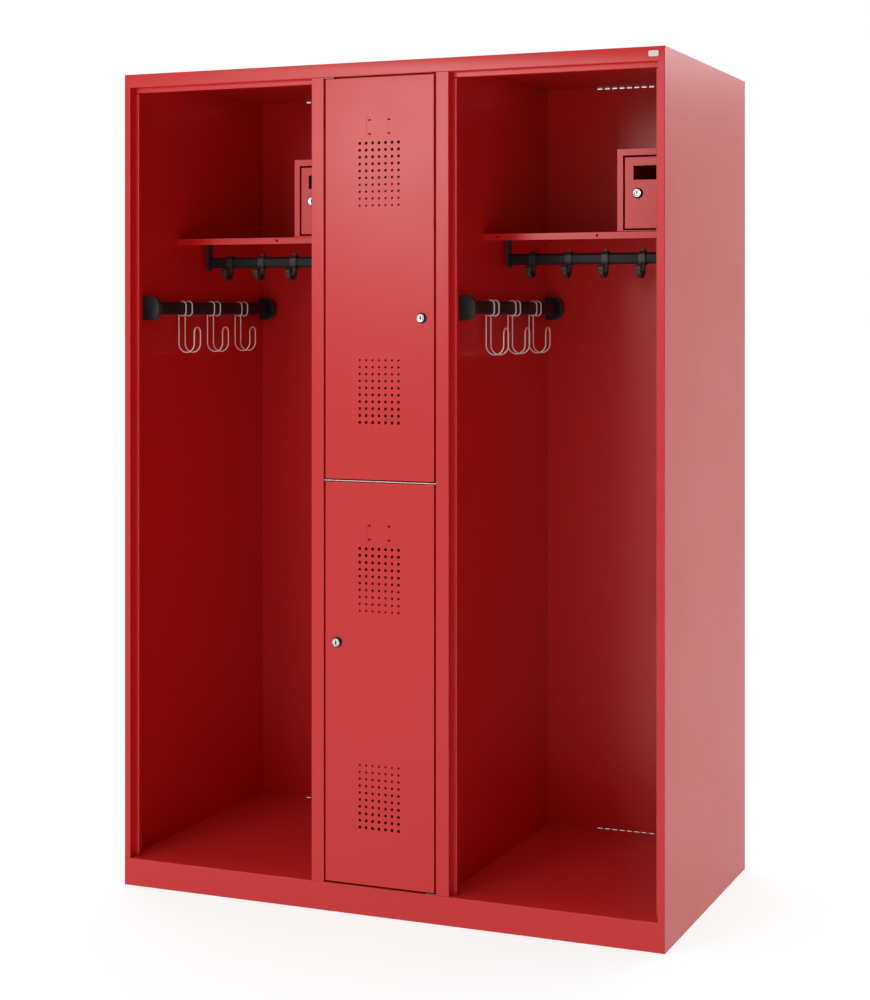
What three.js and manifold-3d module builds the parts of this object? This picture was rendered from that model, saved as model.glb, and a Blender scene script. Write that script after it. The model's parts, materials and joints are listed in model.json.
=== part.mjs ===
// Three-column steel locker: two open bays with rails and hooks beside a centre column with two doors.
// Millimetres. +Z is up, the front faces -Y, and the origin is the middle of the footprint on the floor.
import * as THREE from 'three';
import { mergeVertices } from 'three/addons/utils/BufferGeometryUtils.js';
import Module from 'manifold-3d';

const wasm = await Module();
wasm.setup();

// Overall size and sheet metal
const WIDTH = 1300;
const DEPTH = 600;
const HEIGHT = 1850;
const SHEET = 1.2;
const GAP = 0.3; // air kept between pieces that rest on each other
const FRONT = -DEPTH / 2;
const BACK = DEPTH / 2;

// Front frame: every opening has a face, a return of REBATE, then a stop lip with a hem behind it
const SIDE_FACE = 15;
const POST_FACE = 30;
const HEADER_FACE = 30;
const PLINTH_HEIGHT = 62;
const REBATE = 20;
const LIP = 10;
const HEM = 10;
const LIP_Y = FRONT + REBATE;
const HEADER_UNDERSIDE = HEIGHT - HEADER_FACE;
const LIP_TOP = HEADER_UNDERSIDE - LIP - 2 * SHEET;

// Columns
const DIVIDER_X = 150.4; // middle of each divider sheet and of its post
const OPENING_HALF = DIVIDER_X - POST_FACE / 2; // half the width of the door opening
const WALL_INNER = WIDTH / 2 - SHEET;
const DIVIDER_OUTER = DIVIDER_X + SHEET / 2;
const BAY_CENTRE = (WALL_INNER + DIVIDER_OUTER) / 2;
const BAY_HALF = (WALL_INNER - DIVIDER_OUTER) / 2;
const FLOOR_TOP = 60;
const BACK_SHEET_FRONT = BACK - 2 * SHEET - GAP;
const REAR_FLANGE = 15;

// Vent slots in the back sheet, one row right under the roof and one right at the floor of each bay
const VENT_COUNT = 13;
const VENT_PITCH = 18.8;
const VENT_SLOT = [12.5, 1.8];
const VENT_ROWS = [HEIGHT - SHEET - 1.1, FLOOR_TOP - 0.4]; // middles of the two rows

// Doors
const DOOR_SIDE_GAP = 4.3;
const DOOR_TOP_GAP = 3.5;
const DOOR_BOTTOM_GAP = 4.5;
const DOOR_HALF = OPENING_HALF - DOOR_SIDE_GAP;
const DOOR_PAN = 17;
const SPLIT_LOW = 938; // top of the lower door
const SPLIT_HIGH = 944.5; // bottom of the upper door
const HINGE_INSET = 6; // pivot axis behind the door face and in from the door edge
const PIVOT_R = 3;
const PIVOT_HOLE_R = 3.4;
const HOLE_COLUMNS = 7;
const HOLE_ROWS = 10;
const HOLE_PITCH = [15.6, 15];
const HOLE_R_LARGE = 3.5;
const HOLE_R_SMALL = 2.4;
const HOLE_SIDES = 4;
const TOP_FIELD_DROP = 143; // door top to the first row
const BOTTOM_FIELD_RISE = 124; // door bottom to the last row
const LABEL_SLOT = [6, 3.4];
const LABEL_SPACING = [47, 30];
const LABEL_DROP = 108;

// Cylinder locks
const LOCK_INSET = 29.2; // lock axis in from the free edge of the door
const LOCK_LONG_END = 522; // lock axis to the farther end of the door
const LOCK_PROUD = 7;
const LOCK_RIM_R = 11.5;
const LOCK_NOSE_R = 9.2;
const LOCK_BARREL_R = 8;
const LOCK_PLUG_R = 6.5;
const LOCK_PLUG_HOLE_R = 6.9;
const KEYHOLE = [4.8, 9.4, 6];
const CAM_WIDTH = 14;
const CAM_THICK = 2;
const DOOR_CAM_REACH = 44;
const SAFE_CAM_REACH = 40;

// Hat shelf and its small lockable box
const SHELF_FRONT = -94;
const SHELF_TOP = 1483;
const SHELF_EDGE = 15;
const SHELF_HOLE_R = 3.4;
const SHELF_HOLES = [-209.5, 25.5];
const SAFE_WIDTH = 176;
const SAFE_HEIGHT = 180;
const SAFE_DEPTH = 300;
const SAFE_STILE = 14;
const SAFE_SILL = 2;
const SAFE_GAP = 3.8;
const SAFE_PAN = 10;
const SAFE_HINGE_INSET = 4;
const SAFE_PIN_R = 2;
const SAFE_PIN_HOLE_R = 2.5;
const SAFE_SLOT = [100, 31];
const SAFE_LOCK = [30.5, 79]; // lock axis in from the free edge and down from the door top

// Coat rail under the shelf, with sliding hooks
const RAIL_WALL = 1.5;
const COAT_RAIL = [14, 26];
const COAT_RAIL_Y = 30;
const COAT_RAIL_Z = 1429;
const DROP_PLATE = [6, 20]; // thickness along the rail, width across it
const DROP_END = 240; // outer face of each drop bracket from the bay's middle
const RAIL_SOCKET = 4;
const COAT_HOOK_X = [-176, -87.5, 1, 89.5];
const COAT_HOOK_WIDTH = 14;
const RING_WALL = 3;
const RING_PLAY = 0.5;

// Front-to-back rail on the left wall of each bay, with wire double hooks
const SIDE_RAIL = [15, 30];
const SIDE_RAIL_OFF_WALL = 26;
const SIDE_RAIL_Z = 1317;
const CAP_REACH = 44;
const CAP_HEIGHT = 56;
const CAP_WALL = 3;
const CAP_LENGTH = 14;
const CAP_SOCKET = 9;
const CAP_CORNER = 24;
const FRONT_CAP_Y = FRONT + 68;
const REAR_CAP_Y = FRONT + 592;
const WIRE_R = 1.5;
const WIRE_SIDES = 6;
const WIRE_PLAY = 0.9; // air between the rail and the wire round it
const WIRE_HOOK_Y = [-95, 27.5, 152.5];
const WIRE_SPACING = 26;
const WIRE_DROP = 91; // underside of the rail to the bottom of the hook
const WIRE_U_R = 21.3;
const WIRE_TIP_RISE = 61;

const FINISH = {
  paint: { color: 0xb3201c, roughness: 0.42, metalness: 0.0 },
  zinc: { color: 0xa3a4a6, roughness: 0.45, metalness: 1.0 },
  bright: { color: 0xd8cbc8, roughness: 0.3, metalness: 1.0 },
  chrome: { color: 0xdedfe2, roughness: 0.15, metalness: 1.0 },
  black: { color: 0x1c1d1e, roughness: 0.5, metalness: 0.0 },
  plate: { color: 0xe9e9e6, roughness: 0.4, metalness: 0.0 },
};

// ---- Turning three.js geometry into solids and back ----

function toSolid(geometry) {
  const bare = geometry.clone();
  bare.deleteAttribute('normal');
  bare.deleteAttribute('uv');
  const welded = mergeVertices(bare, 1e-4);
  const corners = welded.index.array;
  const kept = [];
  for (let i = 0; i < corners.length; i += 3) {
    const [a, b, c] = [corners[i], corners[i + 1], corners[i + 2]];
    if (a !== b && b !== c && c !== a) kept.push(a, b, c);
  }
  const vertProperties = new Float32Array(welded.attributes.position.array);
  return new wasm.Manifold(new wasm.Mesh({ numProp: 3, vertProperties, triVerts: new Uint32Array(kept) }));
}

function toGeometry(solid) {
  const mesh = solid.getMesh();
  const geometry = new THREE.BufferGeometry();
  geometry.setAttribute('position', new THREE.BufferAttribute(new Float32Array(mesh.vertProperties), 3));
  geometry.setIndex(new THREE.BufferAttribute(new Uint32Array(mesh.triVerts), 1));
  geometry.computeVertexNormals();
  return geometry;
}

function addPiece(group, name, solid, finish) {
  const mesh = new THREE.Mesh(toGeometry(solid), new THREE.MeshStandardMaterial(finish));
  mesh.name = name;
  group.add(mesh);
  return mesh;
}

// ---- Simple solids ----

function block(x0, x1, y0, y1, z0, z1) {
  const box = new THREE.BoxGeometry(x1 - x0, y1 - y0, z1 - z0);
  return toSolid(box.translate((x0 + x1) / 2, (y0 + y1) / 2, (z0 + z1) / 2));
}

function cylinderAlongY(x, z, radius, y0, y1, sides) {
  const round = new THREE.CylinderGeometry(radius, radius, y1 - y0, sides);
  return toSolid(round.translate(x, (y0 + y1) / 2, z));
}

function cylinderAlongZ(x, y, radius, z0, z1, sides) {
  const round = new THREE.CylinderGeometry(radius, radius, z1 - z0, sides).rotateX(Math.PI / 2);
  return toSolid(round.translate(x, y, (z0 + z1) / 2));
}

// Outline in plan (x, y), drawn out upwards
function prismAlongZ(shape, z0, z1, curveSegments = 6) {
  const body = new THREE.ExtrudeGeometry(shape, { depth: z1 - z0, bevelEnabled: false, curveSegments });
  return toSolid(body.translate(0, 0, z0));
}

// Outline seen from the side (y, z), drawn out along X
function prismAlongX(shape, x0, x1, curveSegments = 6) {
  const body = new THREE.ExtrudeGeometry(shape, { depth: x1 - x0, bevelEnabled: false, curveSegments });
  const turn = new THREE.Matrix4().makeBasis(
    new THREE.Vector3(0, 1, 0), new THREE.Vector3(0, 0, 1), new THREE.Vector3(1, 0, 0));
  return toSolid(body.applyMatrix4(turn).translate(x0, 0, 0));
}

// Outline seen from the front (x, z), drawn out along Y
function prismAlongY(shape, y0, y1, curveSegments = 6) {
  const body = new THREE.ExtrudeGeometry(shape, { depth: y1 - y0, bevelEnabled: false, curveSegments });
  return toSolid(body.rotateX(Math.PI / 2).translate(0, y1, 0));
}

// Outline of a sheet bent along a line of corners, with mitred folds
function bentSheet(line, thickness) {
  const points = line.map(([a, b]) => new THREE.Vector2(a, b));
  const sides = [[], []];
  points.forEach((point, i) => {
    const before = i > 0 ? point.clone().sub(points[i - 1]).normalize() : null;
    const after = i < points.length - 1 ? points[i + 1].clone().sub(point).normalize() : null;
    const ahead = (before ?? after).clone().add(after ?? before).normalize();
    const normal = new THREE.Vector2(-ahead.y, ahead.x);
    const reach = thickness / 2 / ahead.dot(before ?? after);
    sides[0].push(point.clone().addScaledVector(normal, reach));
    sides[1].unshift(point.clone().addScaledVector(normal, -reach));
  });
  return new THREE.Shape([...sides[0], ...sides[1]]);
}

// Rail section: straight flanks with half-round ends, the long way up
function ovalShape(x, z, width, height) {
  const r = width / 2;
  const straight = height / 2 - r;
  const shape = new THREE.Shape();
  shape.absarc(x, z + straight, r, 0, Math.PI, false);
  shape.absarc(x, z - straight, r, Math.PI, 2 * Math.PI, false);
  shape.closePath();
  return shape;
}

// ---- Carcass ----

// Side wall folded into the front frame, with a flange behind the back sheet; side is 1 right, -1 left
function sidePanel(side) {
  const wall = WIDTH / 2 - SHEET / 2;
  const frameEdge = WIDTH / 2 - SIDE_FACE + SHEET / 2;
  const profile = [
    [wall - REAR_FLANGE, BACK - SHEET / 2],
    [wall, BACK - SHEET / 2],
    [wall, FRONT + SHEET / 2],
    [frameEdge, FRONT + SHEET / 2],
    [frameEdge, LIP_Y],
    [frameEdge - LIP, LIP_Y],
    [frameEdge - LIP, LIP_Y + HEM],
  ];
  const line = side > 0 ? profile : profile.map(([x, y]) => [-x, y]).reverse();
  const inner = WALL_INNER - 2 * REAR_FLANGE;
  const [x0, x1] = side > 0 ? [inner, WALL_INNER - GAP] : [-WALL_INNER + GAP, -inner];
  const panel = prismAlongZ(bentSheet(line, SHEET), 0, HEIGHT)
    .subtract(block(x0, x1, FRONT - 1, LIP_Y + 2 * HEM, -1, PLINTH_HEIGHT + GAP))
    .subtract(block(x0, x1, FRONT - 1, LIP_Y + 2 * HEM, HEADER_UNDERSIDE - GAP, HEIGHT + 1))
    .subtract(block(x0, x1, LIP_Y - SHEET, LIP_Y + 2 * HEM, LIP_TOP, HEIGHT + 1));
  return panel.subtract(block(x0, x1, 0, BACK + 1, HEIGHT - 2 * SHEET, HEIGHT + 1));
}

// Hat-section post at the front edge of a divider, with a stop lip on both sides and a hem on the bay side
function dividerPost(side) {
  const near = OPENING_HALF + SHEET / 2;
  const far = DIVIDER_X + POST_FACE / 2 - SHEET / 2;
  const profile = [
    [near - LIP, LIP_Y],
    [near, LIP_Y],
    [near, FRONT + SHEET / 2],
    [far, FRONT + SHEET / 2],
    [far, LIP_Y],
    [far + LIP, LIP_Y],
    [far + LIP, LIP_Y + HEM],
  ];
  const line = side > 0 ? profile : profile.map(([x, y]) => [-x, y]).reverse();
  const [x0, x1] = side > 0 ? [near - 2 * LIP, far + 2 * LIP] : [-far - 2 * LIP, -near + 2 * LIP];
  return prismAlongZ(bentSheet(line, SHEET), PLINTH_HEIGHT + GAP, HEADER_UNDERSIDE - GAP)
    .subtract(block(x0, x1, LIP_Y - SHEET, LIP_Y + 2 * HEM, LIP_TOP, HEIGHT));
}

// Row of vent slots across one bay, cut through the back sheet
function ventCutters(centreX, rowZ) {
  const [length, height] = VENT_SLOT;
  const [y0, y1] = [BACK_SHEET_FRONT - SHEET, BACK_SHEET_FRONT + 2 * SHEET];
  return Array.from({ length: VENT_COUNT }, (_, i) => {
    const x = centreX + (i - (VENT_COUNT - 1) / 2) * VENT_PITCH;
    return block(x - length / 2, x + length / 2, y0, y1, rowZ - height / 2, rowZ + height / 2);
  });
}

function cutAll(solid, cutters) {
  return cutters.reduce((rest, cutter) => rest.subtract(cutter), solid);
}

// Roof sheet folded down into the header, with the stop lip over the openings; it ends at the back sheet
function topPanel() {
  const roof = HEIGHT - SHEET / 2;
  const underside = HEADER_UNDERSIDE + SHEET / 2;
  const line = [
    [LIP_Y + HEM, HEADER_UNDERSIDE - LIP],
    [LIP_Y, HEADER_UNDERSIDE - LIP],
    [LIP_Y, underside],
    [FRONT + SHEET / 2, underside],
    [FRONT + SHEET / 2, roof],
    [BACK_SHEET_FRONT - GAP, roof],
  ];
  const half = WALL_INNER - GAP;
  const sheet = prismAlongX(bentSheet(line, SHEET), -half, half);
  const room = SIDE_FACE - SHEET + LIP + SHEET; // the lip stops short of the side walls
  const ends = [[-half - 1, -half + SIDE_FACE - SHEET], [half - SIDE_FACE + SHEET, half + 1]];
  return cutAll(sheet, ends.map(([x0, x1]) => (
    block(x0, x1, LIP_Y - SHEET, LIP_Y + HEM + 1, HEADER_UNDERSIDE - room, HEADER_UNDERSIDE - GAP))));
}

// Kick plate with a ledge on top and a foot flange on the floor
function plinth() {
  const ledge = PLINTH_HEIGHT - SHEET / 2;
  const line = [
    [LIP_Y, SHEET / 2],
    [FRONT + SHEET / 2, SHEET / 2],
    [FRONT + SHEET / 2, ledge],
    [LIP_Y - SHEET, ledge],
    [LIP_Y - SHEET, ledge - LIP],
  ];
  const half = WALL_INNER - GAP;
  return prismAlongX(bentSheet(line, SHEET), -half, half);
}

function floorPanel() {
  const half = WALL_INNER - GAP;
  return block(-half, half, LIP_Y + GAP, BACK_SHEET_FRONT - GAP, FLOOR_TOP - SHEET, FLOOR_TOP);
}

function backPanel() {
  const half = WALL_INNER - GAP;
  const sheet = block(-half, half, BACK_SHEET_FRONT, BACK_SHEET_FRONT + SHEET, 0, HEIGHT - GAP);
  return cutAll(sheet, [-BAY_CENTRE, BAY_CENTRE].flatMap((x) => VENT_ROWS.flatMap((z) => ventCutters(x, z))));
}

function divider(side) {
  const x = side * DIVIDER_X;
  return block(x - SHEET / 2, x + SHEET / 2, FRONT + SHEET + GAP, BACK_SHEET_FRONT - GAP,
    FLOOR_TOP + GAP, HEADER_UNDERSIDE - LIP - 2 * SHEET)
    .add(block(x - SHEET / 2, x + SHEET / 2, LIP_Y + HEM + SHEET, BACK_SHEET_FRONT - GAP,
      HEADER_UNDERSIDE - LIP - 3 * SHEET, HEIGHT - SHEET - GAP))
    .subtract(block(x - SHEET, x + SHEET, FRONT, LIP_Y, 0, PLINTH_HEIGHT + GAP));
}

// Shelf between the two compartments of the centre column
function centreShelf() {
  const half = DIVIDER_X - SHEET / 2 - GAP;
  const top = SPLIT_HIGH - 2;
  const flange = 20;
  const tray = block(-half, half, LIP_Y + 1, BACK_SHEET_FRONT - GAP, top - flange, top);
  return tray.subtract(block(-half + SHEET, half - SHEET, LIP_Y + 1 + SHEET, BACK_SHEET_FRONT - SHEET,
    top - flange - 1, top - SHEET));
}

// Bare metal cross bar that fills the gap between the doors and carries their pivots
const MIDDLE_BAR_LOW = SPLIT_LOW + 1.5;
const MIDDLE_BAR_HIGH = SPLIT_HIGH - 2.8;

function middleBar() {
  const half = OPENING_HALF - GAP;
  return block(-half, half, FRONT + 2.5, LIP_Y - SHEET, MIDDLE_BAR_LOW, MIDDLE_BAR_HIGH);
}

// Pivot pin on a small plate; up is 1 when the pin points up, -1 when it points down
function doorPivot(hingeSide, seatZ, plateThick, up) {
  const plateLength = 24;
  const pinLength = 7;
  const axisX = hingeSide * (DOOR_HALF - HINGE_INSET);
  const axisY = FRONT + HINGE_INSET;
  const outer = hingeSide * (OPENING_HALF - GAP);
  const inner = outer - hingeSide * plateLength;
  const plateEnd = seatZ + up * plateThick;
  const pinEnd = plateEnd + up * pinLength;
  const [x0, x1] = [Math.min(outer, inner), Math.max(outer, inner)];
  const plate = block(x0, x1, FRONT + 0.6, FRONT + 15, Math.min(seatZ, plateEnd), Math.max(seatZ, plateEnd));
  const pin = cylinderAlongZ(axisX, axisY, PIVOT_R, Math.min(seatZ, pinEnd), Math.max(seatZ, pinEnd), 12);
  return plate.add(pin);
}

// ---- Doors ----

function perforationField(firstRowZ, largestFirst) {
  const cutters = [];
  for (let row = 0; row < HOLE_ROWS; row += 1) {
    const share = largestFirst ? row / (HOLE_ROWS - 1) : 1 - row / (HOLE_ROWS - 1);
    const radius = HOLE_R_LARGE + (HOLE_R_SMALL - HOLE_R_LARGE) * share;
    for (let column = 0; column < HOLE_COLUMNS; column += 1) {
      const x = (column - (HOLE_COLUMNS - 1) / 2) * HOLE_PITCH[0];
      const z = firstRowZ - row * HOLE_PITCH[1];
      cutters.push(cylinderAlongY(x, z, radius, FRONT - 1, FRONT + 2 * SHEET, HOLE_SIDES));
    }
  }
  return cutters;
}

function labelSlots(topZ) {
  const [length, width] = LABEL_SLOT;
  const cutters = [];
  for (const x of [-LABEL_SPACING[0] / 2, LABEL_SPACING[0] / 2]) {
    for (const z of [topZ, topZ - LABEL_SPACING[1]]) {
      const [z0, z1] = [z - width / 2, z + width / 2];
      cutters.push(block(x - length / 2, x + length / 2, FRONT - 1, FRONT + 2 * SHEET, z0, z1));
    }
  }
  return cutters;
}

// Open-backed pan with pierced face; hingeSide is -1 for a left-hung door, 1 for a right-hung one
function doorPan(z0, z1, hingeSide, lockZ) {
  const lastFieldTop = z0 + BOTTOM_FIELD_RISE + (HOLE_ROWS - 1) * HOLE_PITCH[1];
  const pan = block(-DOOR_HALF, DOOR_HALF, FRONT, FRONT + DOOR_PAN, z0, z1)
    .subtract(block(-DOOR_HALF + SHEET, DOOR_HALF - SHEET, FRONT + SHEET, FRONT + DOOR_PAN + 1,
      z0 + SHEET, z1 - SHEET));
  const pierced = cutAll(pan, [
    ...perforationField(z1 - TOP_FIELD_DROP, true),
    ...perforationField(lastFieldTop, false),
    ...labelSlots(z1 - LABEL_DROP + LABEL_SPACING[1] / 2),
  ]);
  const axisX = hingeSide * (DOOR_HALF - HINGE_INSET);
  const lockX = -hingeSide * (DOOR_HALF - LOCK_INSET);
  return pierced
    .subtract(cylinderAlongZ(axisX, FRONT + HINGE_INSET, PIVOT_HOLE_R, z0 - 1, z0 + 2 * SHEET, 12))
    .subtract(cylinderAlongZ(axisX, FRONT + HINGE_INSET, PIVOT_HOLE_R, z1 - 2 * SHEET, z1 + 1, 12))
    .subtract(cylinderAlongY(lockX, lockZ, LOCK_BARREL_R + GAP, FRONT - 1, FRONT + 2 * SHEET, 16));
}

// Outer rim and barrel of a cylinder lock whose door face is at faceY
function lockCase(x, z, faceY, barrelLength) {
  const rim = new THREE.CylinderGeometry(LOCK_RIM_R, LOCK_NOSE_R, LOCK_PROUD - GAP, 20)
    .translate(x, faceY - GAP - (LOCK_PROUD - GAP) / 2, z);
  return toSolid(rim)
    .add(cylinderAlongY(x, z, LOCK_BARREL_R, faceY - 2 * GAP, faceY + barrelLength, 16))
    .subtract(cylinderAlongY(x, z, LOCK_PLUG_HOLE_R, faceY - LOCK_PROUD - 1, faceY + barrelLength + 1, 16));
}

// Turning plug with its keyhole, and the cam behind it hanging straight down when unlocked
function lockPlug(x, z, faceY, camY, camReach) {
  const [keyWidth, keyHeight, keyDepth] = KEYHOLE;
  const noseY = faceY - LOCK_PROUD;
  const plug = cylinderAlongY(x, z, LOCK_PLUG_R, noseY, camY + CAM_THICK, 16);
  const camHalf = CAM_WIDTH / 2;
  const cam = block(x - camHalf, x + camHalf, camY, camY + CAM_THICK, z - camReach, z + camHalf);
  return plug.add(cam)
    .subtract(block(x - keyWidth / 2, x + keyWidth / 2, noseY - 1, noseY + keyDepth,
      z - keyHeight / 2, z + keyHeight / 2));
}

// ---- Fittings of one bay, in a frame whose x is measured from the bay's middle ----

function hatShelf() {
  const half = BAY_HALF - GAP;
  const rear = BACK_SHEET_FRONT - GAP;
  const tray = block(-half, half, SHELF_FRONT, rear, SHELF_TOP - SHELF_EDGE, SHELF_TOP)
    .subtract(block(-half + SHEET, half - SHEET, SHELF_FRONT + SHEET, rear - SHEET,
      SHELF_TOP - SHELF_EDGE - 1, SHELF_TOP - SHEET));
  const z = SHELF_TOP - SHELF_EDGE / 2;
  return cutAll(tray, SHELF_HOLES.map((x) => (
    cylinderAlongY(x, z, SHELF_HOLE_R, SHELF_FRONT - 1, SHELF_FRONT + 2 * SHEET, 10))));
}

const SAFE_RIGHT = BAY_HALF - 0.8;
const SAFE_LEFT = SAFE_RIGHT - SAFE_WIDTH;
const SAFE_BASE = SHELF_TOP + GAP;
const SAFE_TOP = SAFE_BASE + SAFE_HEIGHT;
const SAFE_OPEN = {
  x0: SAFE_LEFT + SAFE_STILE,
  x1: SAFE_RIGHT - SAFE_STILE,
  z0: SAFE_BASE + SAFE_SILL,
  z1: SAFE_TOP - SAFE_STILE - 1,
};
const SAFE_DOOR = {
  x0: SAFE_OPEN.x0 + SAFE_GAP,
  x1: SAFE_OPEN.x1 - SAFE_GAP,
  z0: SAFE_OPEN.z0 + SAFE_GAP,
  z1: SAFE_OPEN.z1 - SAFE_GAP,
};
const SAFE_AXIS = [SAFE_DOOR.x1 - SAFE_HINGE_INSET, SHELF_FRONT + SAFE_HINGE_INSET];

// Box with a framed mouth; a lug above and below the mouth carries the door's two pins
function safeBox() {
  const rear = SHELF_FRONT + SAFE_DEPTH;
  const shell = block(SAFE_LEFT, SAFE_RIGHT, SHELF_FRONT, rear, SAFE_BASE, SAFE_TOP)
    .subtract(block(SAFE_LEFT + SHEET, SAFE_RIGHT - SHEET, SHELF_FRONT + SHEET, rear - SHEET,
      SAFE_BASE + SHEET, SAFE_TOP - SHEET))
    .subtract(block(SAFE_OPEN.x0, SAFE_OPEN.x1, SHELF_FRONT - 1, SHELF_FRONT + 2 * SHEET,
      SAFE_OPEN.z0, SAFE_OPEN.z1));
  const [x, y] = SAFE_AXIS;
  const lug = 5;
  const grip = 6; // how far each pin reaches past the edge of the mouth
  const inside = SHELF_FRONT + SHEET / 2;
  const upper = block(x - lug, x + lug, inside, y + lug, SAFE_OPEN.z1 + GAP, SAFE_OPEN.z1 + lug);
  const lower = block(x - lug, x + lug, inside, y + lug, SAFE_BASE + SHEET / 2, SAFE_OPEN.z0 - GAP);
  return shell.add(upper).add(lower)
    .add(cylinderAlongZ(x, y, SAFE_PIN_R, SAFE_OPEN.z1 - grip, SAFE_OPEN.z1 + lug / 2, 8))
    .add(cylinderAlongZ(x, y, SAFE_PIN_R, SAFE_BASE + SHEET / 2, SAFE_OPEN.z0 + grip, 8));
}

function safeDoor() {
  const { x0, x1, z0, z1 } = SAFE_DOOR;
  const face = SHELF_FRONT;
  const middle = (x0 + x1) / 2;
  const [slotWidth, slotHeight] = SAFE_SLOT;
  const slotTop = z1 - 19;
  const [x, y] = SAFE_AXIS;
  const [lockX, lockZ] = [x0 + SAFE_LOCK[0], z1 - SAFE_LOCK[1]];
  return block(x0, x1, face, face + SAFE_PAN, z0, z1)
    .subtract(block(x0 + SHEET, x1 - SHEET, face + SHEET, face + SAFE_PAN + 1, z0 + SHEET, z1 - SHEET))
    .subtract(block(middle - slotWidth / 2, middle + slotWidth / 2, face - 1, face + 2 * SHEET,
      slotTop - slotHeight, slotTop))
    .subtract(cylinderAlongY(lockX, lockZ, LOCK_BARREL_R + GAP, face - 1, face + 2 * SHEET, 16))
    .subtract(cylinderAlongZ(x, y, SAFE_PIN_HOLE_R, z0 - 1, z0 + 2 * SHEET, 10))
    .subtract(cylinderAlongZ(x, y, SAFE_PIN_HOLE_R, z1 - 2 * SHEET, z1 + 1, 10));
}

function ovalTube(section, x, z, draw) {
  const [width, height] = section;
  const outer = ovalShape(x, z, width, height);
  outer.holes.push(ovalShape(x, z, width - 2 * RAIL_WALL, height - 2 * RAIL_WALL));
  return draw(outer);
}

function coatRail() {
  const end = DROP_END - DROP_PLATE[0] + RAIL_SOCKET - GAP;
  return ovalTube(COAT_RAIL, COAT_RAIL_Y, COAT_RAIL_Z, (shape) => prismAlongX(shape, -end, end, 4));
}

// Plate that hangs from the shelf and takes one end of the coat rail in a blind socket
function dropBracket(side) {
  const [thick, width] = DROP_PLATE;
  const r = width / 2;
  const top = SHELF_TOP - SHEET - GAP;
  const outline = new THREE.Shape();
  outline.moveTo(COAT_RAIL_Y + r, top);
  outline.lineTo(COAT_RAIL_Y - r, top);
  outline.absarc(COAT_RAIL_Y, COAT_RAIL_Z - r, r, Math.PI, 2 * Math.PI, false);
  outline.closePath();
  const outer = side * DROP_END;
  const inner = side * (DROP_END - thick);
  const foot = side * (DROP_END - thick - 10);
  const plate = prismAlongX(outline, Math.min(outer, inner), Math.max(outer, inner), 8);
  const flange = block(Math.min(outer, foot), Math.max(outer, foot), COAT_RAIL_Y - r, COAT_RAIL_Y + r,
    top - 3, top);
  const play = 2 * GAP;
  const socket = ovalShape(COAT_RAIL_Y, COAT_RAIL_Z, COAT_RAIL[0] + play, COAT_RAIL[1] + play);
  const socketEnd = inner + side * RAIL_SOCKET;
  return plate.add(flange)
    .subtract(prismAlongX(socket, Math.min(inner - side, socketEnd), Math.max(inner - side, socketEnd), 4));
}

// Ring that slides on the coat rail, with a lug on top and a hook curling forwards below
function coatHook() {
  const half = COAT_HOOK_WIDTH / 2;
  const inner = COAT_RAIL.map((size) => size + 2 * RING_PLAY);
  const outer = inner.map((size) => size + 2 * RING_WALL);
  const ring = prismAlongX(ovalShape(COAT_RAIL_Y, COAT_RAIL_Z, ...outer), -half, half, 4);
  const bore = prismAlongX(ovalShape(COAT_RAIL_Y, COAT_RAIL_Z, ...inner), -half - 1, half + 1, 4);
  const ringLow = COAT_RAIL_Z - outer[1] / 2;
  const ringHigh = COAT_RAIL_Z + outer[1] / 2;
  const curlR = 15;
  const curlZ = ringLow - 9.5;
  const steps = 6;
  const curl = Array.from({ length: steps + 1 }, (_, i) => {
    const angle = (Math.PI * i) / steps;
    return [COAT_RAIL_Y - curlR + curlR * Math.cos(angle), curlZ - curlR * Math.sin(angle)];
  });
  const tip = [COAT_RAIL_Y - 2 * curlR, curlZ + 4];
  const barHalf = 5.5;
  const hook = prismAlongX(bentSheet([[COAT_RAIL_Y, ringLow + 1.5], ...curl, tip], 9), -barHalf, barHalf);
  const knob = new THREE.CylinderGeometry(7, 7, 16, 12).rotateZ(Math.PI / 2).translate(0, tip[0], tip[1]);
  const lug = block(-barHalf, barHalf, COAT_RAIL_Y - 3.5, COAT_RAIL_Y + 3.5, ringHigh - 1, ringHigh + 4.5);
  return ring.add(lug).add(hook).add(toSolid(knob)).subtract(bore);
}

const SIDE_RAIL_X = -BAY_HALF + SIDE_RAIL_OFF_WALL;

function sideRail() {
  const y0 = FRONT_CAP_Y + CAP_WALL + GAP;
  const y1 = REAR_CAP_Y - CAP_WALL - GAP;
  return ovalTube(SIDE_RAIL, SIDE_RAIL_X, SIDE_RAIL_Z, (shape) => prismAlongY(shape, y0, y1, 4));
}

// D-shaped outline with its flat against the wall
function capOutline(inset) {
  const wallX = -BAY_HALF + GAP + inset;
  const endX = -BAY_HALF + GAP + CAP_REACH - inset;
  const half = CAP_HEIGHT / 2 - inset;
  const r = CAP_CORNER - inset;
  const shape = new THREE.Shape();
  shape.moveTo(wallX, SIDE_RAIL_Z - half);
  shape.lineTo(endX - r, SIDE_RAIL_Z - half);
  shape.absarc(endX - r, SIDE_RAIL_Z - half + r, r, -Math.PI / 2, 0, false);
  shape.absarc(endX - r, SIDE_RAIL_Z + half - r, r, 0, Math.PI / 2, false);
  shape.lineTo(wallX, SIDE_RAIL_Z + half);
  shape.closePath();
  return shape;
}

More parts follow.
